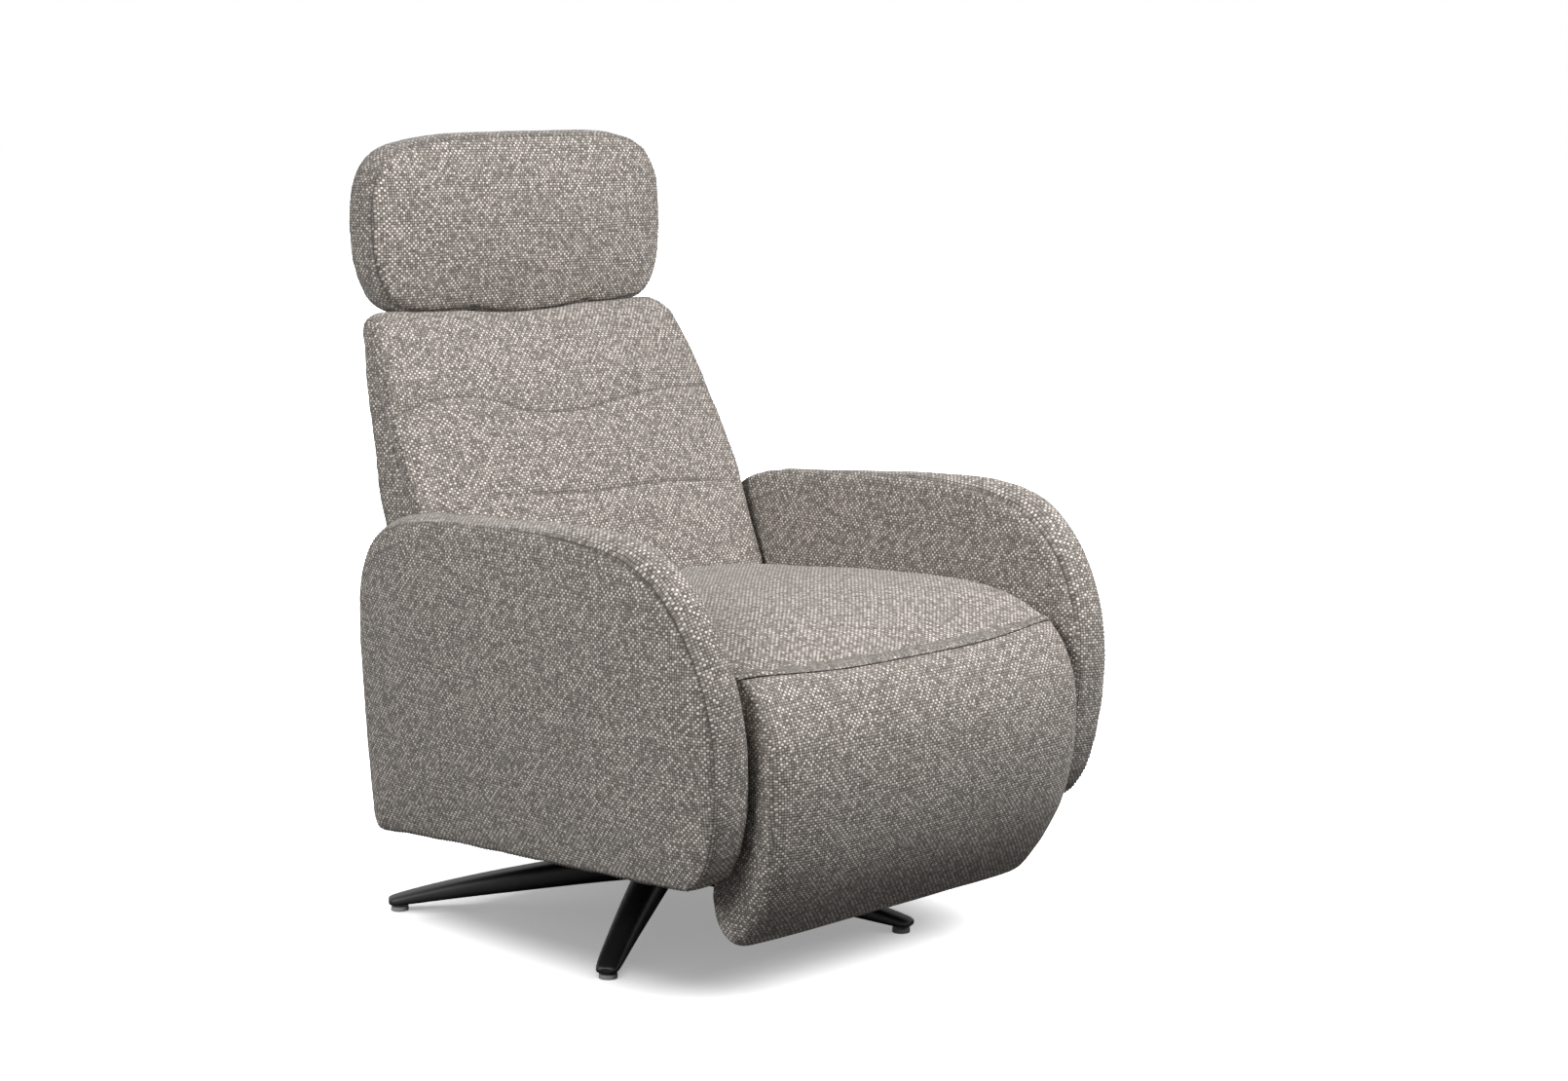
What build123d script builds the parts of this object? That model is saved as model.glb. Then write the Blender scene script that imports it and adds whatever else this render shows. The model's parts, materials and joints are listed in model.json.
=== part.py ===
from build123d import *
import os
from math import atan2, cos, degrees, hypot, radians, sin

os.makedirs("parts", exist_ok=True)

# A star base swivel recliner, in millimetres. The floor is z = 0 and the swivel axis is the
# Z axis. The chair faces -Y, so the sitter's left hand is on +X and the right hand on -X.

# Star base
leg_count = 5
first_leg_angle = 217.6  # from +X, so one leg points out under the right arm's front
glide_radius = 382.0
glide_diameter = 25.0
glide_height = 6.0
glide_stem_diameter = 8.0
glide_stem_length = 7.0
leg_tip_reach = 14.0  # leg beyond the middle of its glide
leg_tip_height = 13.0
leg_tip_width = 27.0
leg_root_width = 58.0
leg_root_bottom = 33.0
leg_root_top = 76.0
leg_top_bow = 14.0
leg_bottom_bow = 3.0
leg_bevel = 5.0
hub_diameter = 100.0
hub_bottom = 30.0
hub_top = 88.0
hub_floor = 8.0
hub_edge = 4.0
base_bolt_diameter = 12.0
base_bolt_length = 34.0
bolt_head_width = 1.7  # head across the corners, in shank diameters
bolt_head_height = 0.6  # head height, in shank diameters

# Swivel
column_diameter = 50.0
collar_diameter = 66.0
collar_height = 6.0
spindle_diameter = 30.0
running_gap = 0.05  # radial gap of every running fit
race_diameter = 60.0
race_thickness = 4.0
ball_diameter = 6.0
ball_count = 12
cage_thickness = 3.0
housing_diameter = 56.0
flange_diameter = 150.0
plate_size = 240.0
plate_thickness = 6.0
underside_z = 176.0  # bottom of the swivel plate and of the seat box
plate_hole_diameter = 58.0
washer_diameter = 48.0
washer_thickness = 2.0
circlip_diameter = 40.0
circlip_groove_depth = 1.5
swivel_bolt_diameter = 8.0
swivel_bolt_circle = 120.0

# Seat box
seat_width = 580.0
box_inset = 2.0  # side panels inside the seat's sides
panel_thickness = 18.0
box_front_y = -400.0
seat_deck_z = 365.0
chassis_rail_width = 50.0
chassis_rail_height = 30.0
chassis_rail_wall = 2.5
chassis_rail_spread = 200.0
chassis_rail_front = -330.0
chassis_rail_back = 60.0
cross_rail_height = 45.0
cross_rail_depth = 25.0
strap_width = 50.0
strap_thickness = 2.0
strap_count = 5
strap_pitch = 105.0
dust_cover_thickness = 3.0

# Recline hinge and backrest, whose points are given along and in front of a line through
# the recline axis that leans back by back_lean
recline_y = 110.0
recline_z = 400.0
recline_range = 38.0
back_lean = 27.4
back_front_offset = 42.0
back_bottom = 38.0
back_top_cover = 20.0  # the backrest's top above the uprights
back_top_depth = 38.0
back_crown = 32.0
back_rear_crown = 16.0
back_seam_depth = 6.0
back_seam_width = 6.0
upper_seam_hump = 352.0
upper_seam_dip = 312.0
upper_seam_end = 338.0
lower_seam_hump = 188.0
lower_seam_dip = 178.0
lower_seam_end = 181.0
barrel_radius = 106.0  # round lower end of the backrest about the recline axis
barrel_sweep = 60.0
barrel_end_gap = 4.0
shell_wall = 13.0
axle_tube_diameter = 25.0
axle_pin_diameter = 12.0
axle_boss_radius = 26.0
upright_lean = 25.9
upright_width = 30.0
upright_thickness = 10.0
upright_spread = 460.0
upright_length = 480.0
lower_cross_at = 250.0  # cross bars, measured along the uprights
back_strap_places = (85.0, 165.0)  # below the lower cross bar; two more lie above it
strap_bay_parts = (9, 5, 3)  # how what those two leave free between the bars is shared out, from below

# Gas spring
crank_radius = 60.0
crank_plate_thickness = 4.0
crank_plate_gap = 11.0
crank_pin_diameter = 10.0
gas_eye_bore = 14.0
gas_eye_diameter = 24.0
cylinder_diameter = 22.0
cylinder_length = 150.0
gas_rod_diameter = 8.0
gas_rod_length = 70.0
release_head_size = 24.0
gas_foot_width = 50.0

# Headrest
headrest_width = 542.0
headrest_depth = 56.0
headrest_height = 193.0  # at its ends' corners
headrest_hinge_depth = 33.1  # hinge behind the front seam
headrest_hinge_height = 7.9  # hinge above the lower corners
headrest_crown = 25.0
headrest_rear_crown = 15.0
headrest_end_crown = 49.0  # how far the top stands above the corners
headrest_post_length = 49.0  # from the uprights' ends to the headrest's hinge
headrest_eye_diameter = 16.0
headrest_pin_diameter = 8.0
post_width = 25.0
post_spread = 145.0
core_thickness = 10.0

# Seat cushion and footrest
seam_y = -485.0
seam_z = 440.0
seat_back_z = 438.0
seat_top_z = 464.0
seat_crown = 13.0
seat_crest_y = -190.0
footrest_pivot_y = -490.0
footrest_pivot_z = 420.0
footrest_gap = 0.6
footrest_front_y = -540.0
footrest_bottom_z = 93.0
footrest_crown = 18.0
footrest_full_z = 315.0  # where the front stands out most
footrest_shoulder_setback = 14.0
footrest_shoulder_drop = 49.0  # below the seam
footrest_middle_setback = 9.0
footrest_middle_z = 225.0
footrest_belly_setback = 43.0
footrest_belly_z = 150.0
footrest_toe_setback = 58.0
footrest_toe_rise = 23.0
footrest_bottom_setback = 85.0
footrest_inner_y = -416.0
footrest_inner_z = 140.0
board_thickness = 12.0
board_width = 492.0
board_bottom_z = 170.0
board_top_z = 370.0
hinge_plate_thickness = 4.0
hinge_plate_gap = 0.6
hinge_eye_radius = 10.0
hinge_pin_diameter = 8.0
hinge_plate_reach = 140.0  # of the footrest's hinge arms below the top of the board
plate_low_depth = 22.0
plate_high_depth = 34.0

# Arms, drawn in a plane that leans outwards
arm_stand_off = 35.0  # inner seam outside the seat's side, at arm_reference_z
arm_reference_z = 500.0
arm_lean = 4.3
arm_band = 60.0  # between the inner and the outer seam
arm_inner_crown = 18.0
arm_outer_crown = 8.0
arm_frame_thickness = 18.0
arm_frame_inset = 26.0
arm_outline = (  # (y, z): the rear edge, then arcs of three points each over the top to the front
    (206, 128),
    (212, 300),
    (207, 425),
    (177, 528),
    (145, 562),
    (80, 587),
    (-100, 610),
    (-300, 600),
    (-385, 581),
    (-440, 547),
    (-492, 480),
    (-515, 395),
    (-512, 300),
    (-492, 222),
    (-476, 194),
    (-450, 173),
)
arm_bolt_diameter = 8.0
spacer_diameter = 50.0
valance_thickness = 15.0
valance_y = 205.0
valance_bottom_z = 135.0
valance_top_z = 325.0

# Release lever, in the gap between the seat and the right arm
lever_y = -250.0
lever_z = 325.0
lever_thickness = 4.0
lever_width = 16.0
lever_top_z = 505.0
lever_boss_radius = 12.0
lever_pin_diameter = 8.0
lever_knob_radius = 13.0
lever_gap = 0.6
lever_swing = 20.0
lever_room_depth = 6.5  # hollow in the right arm's pad, outside the seat's side
cable_diameter = 5.0

seat_half = seat_width / 2
panel_outer_x = seat_half - box_inset
panel_inner_x = panel_outer_x - panel_thickness
leg_root_radius = hub_diameter * 0.4
leg_tip_radius = glide_radius + leg_tip_reach
race_bottom = hub_top + collar_height
race_gap_bottom = race_bottom + race_thickness
race_gap_top = race_gap_bottom + ball_diameter + 2 * running_gap
housing_bottom = race_gap_top + race_thickness
plate_top = underside_z + plate_thickness
washer_bottom = underside_z + running_gap
circlip_bottom = washer_bottom + washer_thickness + running_gap
spindle_top = plate_top + 2
rail_top = plate_top + chassis_rail_height
lower_rail_top = rail_top + cross_rail_height
barrel_half = panel_inner_x - barrel_end_gap
spindle_bore = spindle_diameter + 2 * running_gap


def ring(inner, outer, bottom, height):
    """A flat ring about the swivel axis."""
    with BuildPart() as piece:
        with BuildSketch(Plane.XY.offset(bottom)):
            Circle(outer / 2)
            Circle(inner / 2, mode=Mode.SUBTRACT)
        extrude(amount=height)
    return piece.part


def hex_bolt(diameter, length):
    """A hexagon bolt along +Z, with the underside of its head at the origin."""
    with BuildPart() as piece:
        with BuildSketch():
            RegularPolygon(diameter * bolt_head_width / 2, 6)
        extrude(amount=-diameter * bolt_head_height)
        with BuildSketch():
            Circle(diameter / 2)
        extrude(amount=length)
    return piece.part


def finish(piece, label):
    """Names a piece and writes it."""
    piece.part.label = label
    export_step(piece.part, f"parts/{label}.step")


def on_back(along, forward):
    """A point of the backrest as (y, z), from the recline axis."""
    lean = radians(back_lean)
    y = recline_y + along * sin(lean) - forward * cos(lean)
    z = recline_z + along * cos(lean) + forward * sin(lean)
    return y, z


def on_upright(along, forward):
    """A point of the back frame as (y, z), along the leaning uprights."""
    lean = radians(upright_lean)
    y = recline_y + along * sin(lean) - forward * cos(lean)
    z = recline_z + along * cos(lean) + forward * sin(lean)
    return y, z


def about(centre, radius, angle):
    """A point (y, z) at an angle from +Y about a centre."""
    return centre[0] + radius * cos(radians(angle)), centre[1] + radius * sin(radians(angle))


recline = (recline_y, recline_z)
pivot = (footrest_pivot_y, footrest_pivot_z)
back_top = upright_length + back_top_cover
upper_cross_at = upright_length - upright_width / 2
strap_bay = (upper_cross_at - lower_cross_at - upright_width - 2 * strap_width) / sum(strap_bay_parts)
upper_strap_places = (
    lower_cross_at + (upright_width + strap_width) / 2 + strap_bay * strap_bay_parts[0],
    upper_cross_at - (upright_width + strap_width) / 2 - strap_bay * strap_bay_parts[2],
)
headrest_hinge = on_upright(upright_length + headrest_post_length, 0)
headrest_front_y = headrest_hinge[0] - headrest_hinge_depth
headrest_bottom_z = headrest_hinge[1] - headrest_hinge_height
headrest_top_z = headrest_bottom_z + headrest_height

# ---------------------------------------------------------------- star base
with BuildPart() as leg:
    with BuildSketch(Plane.XZ):
        with BuildLine():
            top = SagittaArc((leg_tip_radius, leg_tip_height), (leg_root_radius, leg_root_top), leg_top_bow)
            Polyline(top @ 1, (0, leg_root_top), (0, leg_root_bottom), (leg_root_radius, leg_root_bottom))
            SagittaArc(
                (leg_root_radius, leg_root_bottom),
                (glide_radius - glide_diameter, glide_height),
                -leg_bottom_bow,
            )
            Polyline(
                (glide_radius - glide_diameter, glide_height),
                (leg_tip_radius, glide_height),
                (leg_tip_radius, leg_tip_height),
            )
        make_face()
    extrude(amount=leg_root_width, both=True)
    with BuildSketch(Plane.XY):
        with BuildLine():
            Polyline(
                (0, -leg_root_width / 2),
                (leg_root_radius, -leg_root_width / 2),
                (leg_tip_radius, -leg_tip_width / 2),
                (leg_tip_radius, leg_tip_width / 2),
                (leg_root_radius, leg_root_width / 2),
                (0, leg_root_width / 2),
                close=True,
            )
        make_face()
    extrude(amount=hub_top, mode=Mode.INTERSECT)
    sloping_face = leg.faces().filter_by(GeomType.CYLINDER).sort_by(Axis.Z)[-1]
    chamfer(sloping_face.edges().filter_by(lambda e: abs((e @ 1 - e @ 0).X) > leg_tip_radius / 2), leg_bevel)
    with Locations((glide_radius, 0, glide_height)):
        Cylinder(
            glide_stem_diameter / 2,
            glide_stem_length + 1,
            align=(Align.CENTER, Align.CENTER, Align.MIN),
            mode=Mode.SUBTRACT,
        )

with BuildPart() as star_base:
    with BuildSketch(Plane.XY.offset(hub_bottom)):
        Circle(hub_diameter / 2)
    extrude(amount=hub_top - hub_bottom)
    chamfer(star_base.edges().group_by(Axis.Z)[-1], hub_edge)
    with PolarLocations(0, leg_count, start_angle=first_leg_angle):
        add(leg.part)
    with BuildSketch(Plane.XY.offset(hub_bottom + hub_floor)):
        Circle(column_diameter / 2)
    extrude(amount=hub_top - hub_bottom, mode=Mode.SUBTRACT)
    with BuildSketch(Plane.XY.offset(hub_bottom)):
        Circle(base_bolt_diameter / 2)
    extrude(amount=hub_floor, mode=Mode.SUBTRACT)
finish(star_base, "star_base")

with BuildPart() as glides:
    with PolarLocations(glide_radius, leg_count, start_angle=first_leg_angle):
        Cylinder(glide_diameter / 2, glide_height, align=(Align.CENTER, Align.CENTER, Align.MIN))
        Cylinder(
            glide_stem_diameter / 2,
            glide_height + glide_stem_length,
            align=(Align.CENTER, Align.CENTER, Align.MIN),
        )
finish(glides, "glides")

with BuildPart() as swivel_column:
    with BuildSketch(Plane.XY.offset(hub_bottom + hub_floor)):
        Circle(column_diameter / 2)
    extrude(amount=hub_top - hub_bottom - hub_floor)
    with BuildSketch(Plane.XY.offset(hub_top)):
        Circle(collar_diameter / 2)
    extrude(amount=collar_height)
    with BuildSketch(Plane.XY.offset(race_bottom)):
        Circle(spindle_diameter / 2)
    extrude(amount=spindle_top - race_bottom)
    with BuildSketch(Plane.XY.offset(circlip_bottom)):
        Circle(spindle_diameter / 2)
        Circle(spindle_diameter / 2 - circlip_groove_depth, mode=Mode.SUBTRACT)
    extrude(amount=washer_thickness, mode=Mode.SUBTRACT)
    with BuildSketch(Plane.XY.offset(hub_bottom + hub_floor)):
        Circle(base_bolt_diameter / 2)
    extrude(amount=base_bolt_length - hub_floor, mode=Mode.SUBTRACT)
finish(swivel_column, "swivel_column")

with BuildPart() as base_bolt:
    with Locations((0, 0, hub_bottom)):
        add(hex_bolt(base_bolt_diameter, base_bolt_length))
finish(base_bolt, "base_bolt")

with BuildPart() as lower_race:
    add(ring(spindle_bore, race_diameter, race_bottom, race_thickness))
finish(lower_race, "lower_race")

ball_circle = (spindle_bore + race_diameter) / 4
with BuildPart() as bearing_balls:
    with Locations((0, 0, race_gap_bottom + running_gap + ball_diameter / 2)):
        with PolarLocations(ball_circle, ball_count):
            Sphere(ball_diameter / 2)
finish(bearing_balls, "bearing_balls")

cage_bottom = (race_gap_bottom + race_gap_top - cage_thickness) / 2
with BuildPart() as ball_cage:
    with BuildSketch(Plane.XY.offset(cage_bottom)):
        Circle(ball_circle + ball_diameter * 0.8)
        Circle(spindle_diameter / 2 + running_gap, mode=Mode.SUBTRACT)
        with PolarLocations(ball_circle, ball_count):
            Circle(ball_diameter / 2 + running_gap, mode=Mode.SUBTRACT)
    extrude(amount=cage_thickness)
finish(ball_cage, "ball_cage")

with BuildPart() as spindle_washer:
    add(ring(spindle_bore, washer_diameter, washer_bottom, washer_thickness))
finish(spindle_washer, "spindle_washer")

with BuildPart() as spindle_circlip:
    with BuildSketch(Plane.XY.offset(circlip_bottom + running_gap)):
        Circle(circlip_diameter / 2)
        Circle(spindle_diameter / 2 - circlip_groove_depth, mode=Mode.SUBTRACT)
        with Locations((0, circlip_diameter / 2)):
            Rectangle(circlip_diameter / 5, circlip_diameter / 2, mode=Mode.SUBTRACT)
    extrude(amount=washer_thickness - 2 * running_gap)
finish(spindle_circlip, "spindle_circlip")

# ---------------------------------------------------------------- chassis and seat box
with BuildPart() as upper_race:
    add(ring(spindle_bore, race_diameter, race_gap_top, race_thickness))
finish(upper_race, "upper_race")

with BuildPart() as swivel_housing:
    add(ring(spindle_bore, housing_diameter, housing_bottom, underside_z - housing_bottom))
    add(ring(spindle_bore, flange_diameter, underside_z - plate_thickness, plate_thickness))
    with BuildSketch(Plane.XY.offset(underside_z - plate_thickness)):
        with PolarLocations(swivel_bolt_circle / 2, 4, start_angle=45):
            Circle(swivel_bolt_diameter / 2)
    extrude(amount=plate_thickness, mode=Mode.SUBTRACT)
finish(swivel_housing, "swivel_housing")

with BuildPart() as swivel_plate:
    with BuildSketch(Plane.XY.offset(underside_z)):
        RectangleRounded(plate_size, plate_size, plate_size / 12)
        Circle(plate_hole_diameter / 2, mode=Mode.SUBTRACT)
        with PolarLocations(swivel_bolt_circle / 2, 4, start_angle=45):
            Circle(swivel_bolt_diameter / 2, mode=Mode.SUBTRACT)
    extrude(amount=plate_thickness)
finish(swivel_plate, "swivel_plate")

with BuildPart() as swivel_bolts:
    with Locations((0, 0, underside_z - plate_thickness)):
        with PolarLocations(swivel_bolt_circle / 2, 4, start_angle=45):
            add(hex_bolt(swivel_bolt_diameter, 2 * plate_thickness))
    with BuildSketch(Plane.XY.offset(plate_top)):
        with PolarLocations(swivel_bolt_circle / 2, 4, start_angle=45):
            RegularPolygon(swivel_bolt_diameter * bolt_head_width / 2, 6)
    extrude(amount=swivel_bolt_diameter * bolt_head_height)
finish(swivel_bolts, "swivel_bolts")

for name, sign in (("left", 1), ("right", -1)):
    with BuildPart() as chassis_rail:
        with BuildSketch(Plane.XZ.offset(-chassis_rail_back)):
            with Locations((sign * chassis_rail_spread / 2, plate_top + chassis_rail_height / 2)):
                Rectangle(chassis_rail_width, chassis_rail_height)
                Rectangle(
                    chassis_rail_width - 2 * chassis_rail_wall,
                    chassis_rail_height - 2 * chassis_rail_wall,
                    mode=Mode.SUBTRACT,
                )
        extrude(amount=chassis_rail_back - chassis_rail_front)
    finish(chassis_rail, f"chassis_rail_{name}")


def cross_rail(front_y, bottom_z):
    """A wooden rail between the two side panels."""
    with BuildPart() as piece:
        with BuildSketch(Plane.YZ):
            with Locations((front_y, bottom_z)):
                Rectangle(cross_rail_depth, cross_rail_height, align=Align.MIN)
        extrude(amount=panel_inner_x, both=True)
    return piece.part


seat_rear_rail_y = recline_y - barrel_radius * 0.66
crank_angle = recline_range / 2
gas_axis_z = recline_z - crank_radius * (1 + cos(radians(crank_angle))) / 2
with BuildPart() as lower_front_rail:
    add(cross_rail(chassis_rail_front, rail_top))
finish(lower_front_rail, "lower_front_rail")

with BuildPart() as lower_rear_rail:
    add(cross_rail(chassis_rail_back - cross_rail_depth, rail_top))
finish(lower_rear_rail, "lower_rear_rail")

with BuildPart() as seat_front_rail:
    add(cross_rail(box_front_y, seat_deck_z - cross_rail_height))
finish(seat_front_rail, "seat_front_rail")

with BuildPart() as seat_rear_rail:
    add(cross_rail(seat_rear_rail_y, seat_deck_z - cross_rail_height))
    with BuildSketch(Plane.XZ.offset(-seat_rear_rail_y - cross_rail_depth)):
        with Locations((0, gas_axis_z)):
            Rectangle(cylinder_diameter + 12, cylinder_diameter + 12)
    extrude(amount=cross_rail_depth, mode=Mode.SUBTRACT)
finish(seat_rear_rail, "seat_rear_rail")

# places of the arm bolts as (y, z), and of the footrest and lever pins through the panels
arm_bolt_points = [(box_front_y + 60, 300), (-150, 235), (recline_y - 45, 300)]
for name, sign in (("left", 1), ("right", -1)):
    with BuildPart() as side_panel:
        with BuildSketch(Plane.YZ.offset(sign * (panel_inner_x + panel_thickness / 2))):
            with BuildLine():
                Polyline(
                    (box_front_y, underside_z),
                    (box_front_y, seat_deck_z),
                    (recline_y - axle_boss_radius, seat_deck_z),
                    (recline_y - axle_boss_radius, recline_z),
                    (recline_y + axle_boss_radius, recline_z),
                    (recline_y + axle_boss_radius, underside_z),
                    close=True,
                )
            make_face()
            with Locations(recline):
                Circle(axle_boss_radius)
                Circle(axle_pin_diameter / 2 + running_gap, mode=Mode.SUBTRACT)
            with Locations(*arm_bolt_points):
                Circle(arm_bolt_diameter / 2, mode=Mode.SUBTRACT)
            if sign < 0:
                with Locations((lever_y, lever_z)):
                    Circle(lever_pin_diameter / 2, mode=Mode.SUBTRACT)
        extrude(amount=panel_thickness / 2, both=True)
    finish(side_panel, f"side_panel_{name}")

seat_rear_y = recline_y - axle_boss_radius - 2
with BuildPart() as seat_webbing:
    with BuildSketch(Plane.XY.offset(seat_deck_z)):
        with GridLocations(strap_pitch, 1, strap_count, 1):
            with Locations((0, box_front_y)):
                Rectangle(
                    strap_width,
                    seat_rear_rail_y + cross_rail_depth - box_front_y,
                    align=(Align.CENTER, Align.MIN),
                )
    extrude(amount=strap_thickness)
finish(seat_webbing, "seat_webbing")

with BuildPart() as dust_cover:
    with BuildSketch(Plane.XY.offset(underside_z - dust_cover_thickness)):
        with Locations((0, box_front_y)):
            Rectangle(
                2 * panel_outer_x,
                recline_y + axle_boss_radius - box_front_y,
                align=(Align.CENTER, Align.MIN),
            )
        Circle(flange_diameter / 2 + 4, mode=Mode.SUBTRACT)
    extrude(amount=dust_cover_thickness)
finish(dust_cover, "dust_cover")

# ---------------------------------------------------------------- seat cushion
roller_radius = hypot(seam_y - footrest_pivot_y, seam_z - footrest_pivot_z)
recess_radius = roller_radius + footrest_gap
seam_angle = degrees(atan2(seam_z - footrest_pivot_z, seam_y - footrest_pivot_y))
cushion_bottom = seat_deck_z + strap_thickness


def seat_profile(crown, inset):
    """The seat cushion's outline from the side."""
    lip = about(pivot, recess_radius, seam_angle)
    root = about(pivot, recess_radius, -45)
    front_top = (box_front_y, seat_top_z - 4 + 0.8 * crown - inset)
    rear_top = (seat_rear_y, seat_back_z + 0.8 * crown - inset)
    with BuildSketch() as profile:
        with BuildLine():
            ThreePointArc(lip, about(pivot, recess_radius, 20), root)
            Polyline(root, (box_front_y, cushion_bottom), (seat_rear_y, cushion_bottom), rear_top)
            ThreePointArc(rear_top, (seat_crest_y, seat_top_z + crown - inset), front_top)
            nose = ((box_front_y + seam_y) / 2 - 4, seat_top_z - 6 + 0.35 * crown - inset)
            ThreePointArc(front_top, nose, lip)
        make_face()
    return profile.sketch


seat_stations = ((0.0, 1.0, 0), (0.5, 0.85, 0), (0.83, 0.3, 0), (0.965, 0.0, 3), (1.0, 0.0, 12))


def both_ways(stations):
    """Stations from the middle to one side, run from side to side."""
    left = [(-share, *rest) for share, *rest in reversed(stations[1:])]
    return left + [tuple(row) for row in stations]


bracket_inner_x = board_width / 2 + hinge_plate_thickness + hinge_plate_gap
bracket_outer_x = bracket_inner_x + hinge_plate_thickness
with BuildPart() as seat_cushion:
    for share, crown, inset in both_ways(seat_stations):
        with BuildSketch(Plane.YZ.offset(share * seat_half)):
            add(seat_profile(crown * seat_crown, inset))
    loft(ruled=True)
    for sign in (1, -1):
        with BuildSketch(Plane.YZ.offset(sign * (bracket_inner_x + bracket_outer_x) / 2)):
            with Locations((footrest_pivot_y, cushion_bottom)):
                Rectangle(
                    box_front_y - footrest_pivot_y + 2,
                    footrest_pivot_z + 2 - cushion_bottom,
                    align=Align.MIN,
                )
        extrude(amount=hinge_plate_thickness / 2 + 1, both=True, mode=Mode.SUBTRACT)
finish(seat_cushion, "seat_cushion")

# ---------------------------------------------------------------- arms
arm_inner_x = seat_half + arm_stand_off
arm_ys = [y for y, z in arm_outline]
arm_zs = [z for y, z in arm_outline]
arm_half_depth = (max(arm_ys) - min(arm_ys)) / 2
arm_half_height = (max(arm_zs) - min(arm_zs)) / 2
arm_middle_y = (max(arm_ys) + min(arm_ys)) / 2
arm_middle_z = (max(arm_zs) + min(arm_zs)) / 2 - arm_reference_z
arm_plane = Plane(
    origin=(arm_inner_x, 0, arm_reference_z),
    x_dir=(0, 1, 0),
    z_dir=(cos(radians(arm_lean)), 0, -sin(radians(arm_lean))),
)


def arm_face(inset):
    """The arm's outline in its own plane, drawn in by inset towards the arm's middle."""

    def drawn(y, z):
        across = 1 - inset / arm_half_depth
        up = 1 - inset / arm_half_height
        return arm_middle_y + (y - arm_middle_y) * across, arm_middle_z + (z - arm_middle_z) * up

    points = [drawn(y, z - arm_reference_z) for y, z in arm_outline]
    with BuildSketch() as outline:
        with BuildLine():
            Line(points[0], points[1])
            for start in range(1, len(points) - 2, 2):
                ThreePointArc(*points[start:start + 3])
            Line(points[-1], points[0])
        make_face()
    return outline.sketch


arm_stations = (
    (-arm_inner_crown, 120),
    (-arm_inner_crown * 0.8, 70),
    (-arm_inner_crown * 0.33, 24),
    (0, 5),
    (arm_band * 0.2, 0),
    (arm_band * 0.8, 0),
    (arm_band, 5),
    (arm_band + arm_outer_crown * 0.45, 30),
    (arm_band + arm_outer_crown, 110),
)
frame_from = (arm_band - arm_frame_thickness) / 2
with BuildPart() as arm_frame_left:
    with BuildSketch(arm_plane.offset(frame_from)):
        add(arm_face(arm_frame_inset))
    extrude(amount=arm_frame_thickness)
    with BuildSketch(Plane.YZ.offset(panel_outer_x)):
        with Locations(*arm_bolt_points):
            Circle(arm_bolt_diameter / 2)
    extrude(amount=arm_band + arm_stand_off, mode=Mode.SUBTRACT)
finish(arm_frame_left, "arm_frame_left")

with BuildPart() as arm_spacers_left:
    with BuildSketch(Plane.YZ.offset(panel_outer_x)):
        with Locations(*arm_bolt_points):
            Circle(spacer_diameter / 2)
            Circle(arm_bolt_diameter / 2, mode=Mode.SUBTRACT)
    extrude(amount=arm_band + arm_stand_off)
    split(bisect_by=arm_plane.offset(frame_from), keep=Keep.BOTTOM)
finish(arm_spacers_left, "arm_spacers_left")

with BuildPart() as arm_pad_left:
    for distance, inset in arm_stations:
        with BuildSketch(arm_plane.offset(distance)):
            add(arm_face(inset))
    loft(ruled=True)
    add(arm_frame_left.part, mode=Mode.SUBTRACT)
    with BuildSketch(Plane.YZ.offset(panel_outer_x)):
        with Locations(*arm_bolt_points):
            Circle(spacer_diameter / 2)
    extrude(amount=arm_inner_x + frame_from + arm_frame_thickness - panel_outer_x, mode=Mode.SUBTRACT)
finish(arm_pad_left, "arm_pad_left")

bolt_plane = Plane(origin=(panel_inner_x, 0, 0), x_dir=(0, 1, 0), z_dir=(1, 0, 0))
bolt_reach = arm_inner_x + arm_frame_thickness - panel_inner_x
with BuildPart() as arm_bolts_left:
    with Locations(*[bolt_plane.location * Pos(y, z) for y, z in arm_bolt_points]):
        add(hex_bolt(arm_bolt_diameter, bolt_reach))
finish(arm_bolts_left, "arm_bolts_left")

with BuildPart() as arm_frame_right:
    mirror(arm_frame_left.part, about=Plane.YZ)
finish(arm_frame_right, "arm_frame_right")
with BuildPart() as arm_spacers_right:
    mirror(arm_spacers_left.part, about=Plane.YZ)
finish(arm_spacers_right, "arm_spacers_right")
lever_reach = lever_top_z - lever_z + lever_knob_radius
lever_room = lever_boss_radius + 2
with BuildPart() as arm_pad_right:
    mirror(arm_pad_left.part, about=Plane.YZ)
    with BuildSketch(Plane.YZ.offset(-panel_outer_x)):
        with BuildLine():
            Polyline(
                (lever_y + lever_knob_radius + 2, lever_z - lever_room),
                (lever_y + lever_knob_radius + 2, lever_z + lever_reach + 2),
                (lever_y - lever_reach * sin(radians(lever_swing)) - 20, lever_z + lever_reach + 2),
                (lever_y - lever_room, lever_z - lever_room),
                close=True,
            )
        make_face()
    extrude(amount=-(lever_room_depth + seat_half - panel_outer_x), mode=Mode.SUBTRACT)
finish(arm_pad_right, "arm_pad_right")
with BuildPart() as arm_bolts_right:
    mirror(arm_bolts_left.part, about=Plane.YZ)
finish(arm_bolts_right, "arm_bolts_right")

with BuildPart() as rear_valance:
    with BuildSketch(Plane.XZ.offset(-valance_y)):
        with Locations((0, valance_bottom_z)):
            Rectangle(
                2 * panel_outer_x,
                valance_top_z - valance_bottom_z,
                align=(Align.CENTER, Align.MIN),
            )
    extrude(amount=valance_thickness)
    fillet(rear_valance.edges().filter_by(Axis.X).group_by(Axis.Y)[-1], valance_thickness / 3)
finish(rear_valance, "rear_valance")

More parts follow.
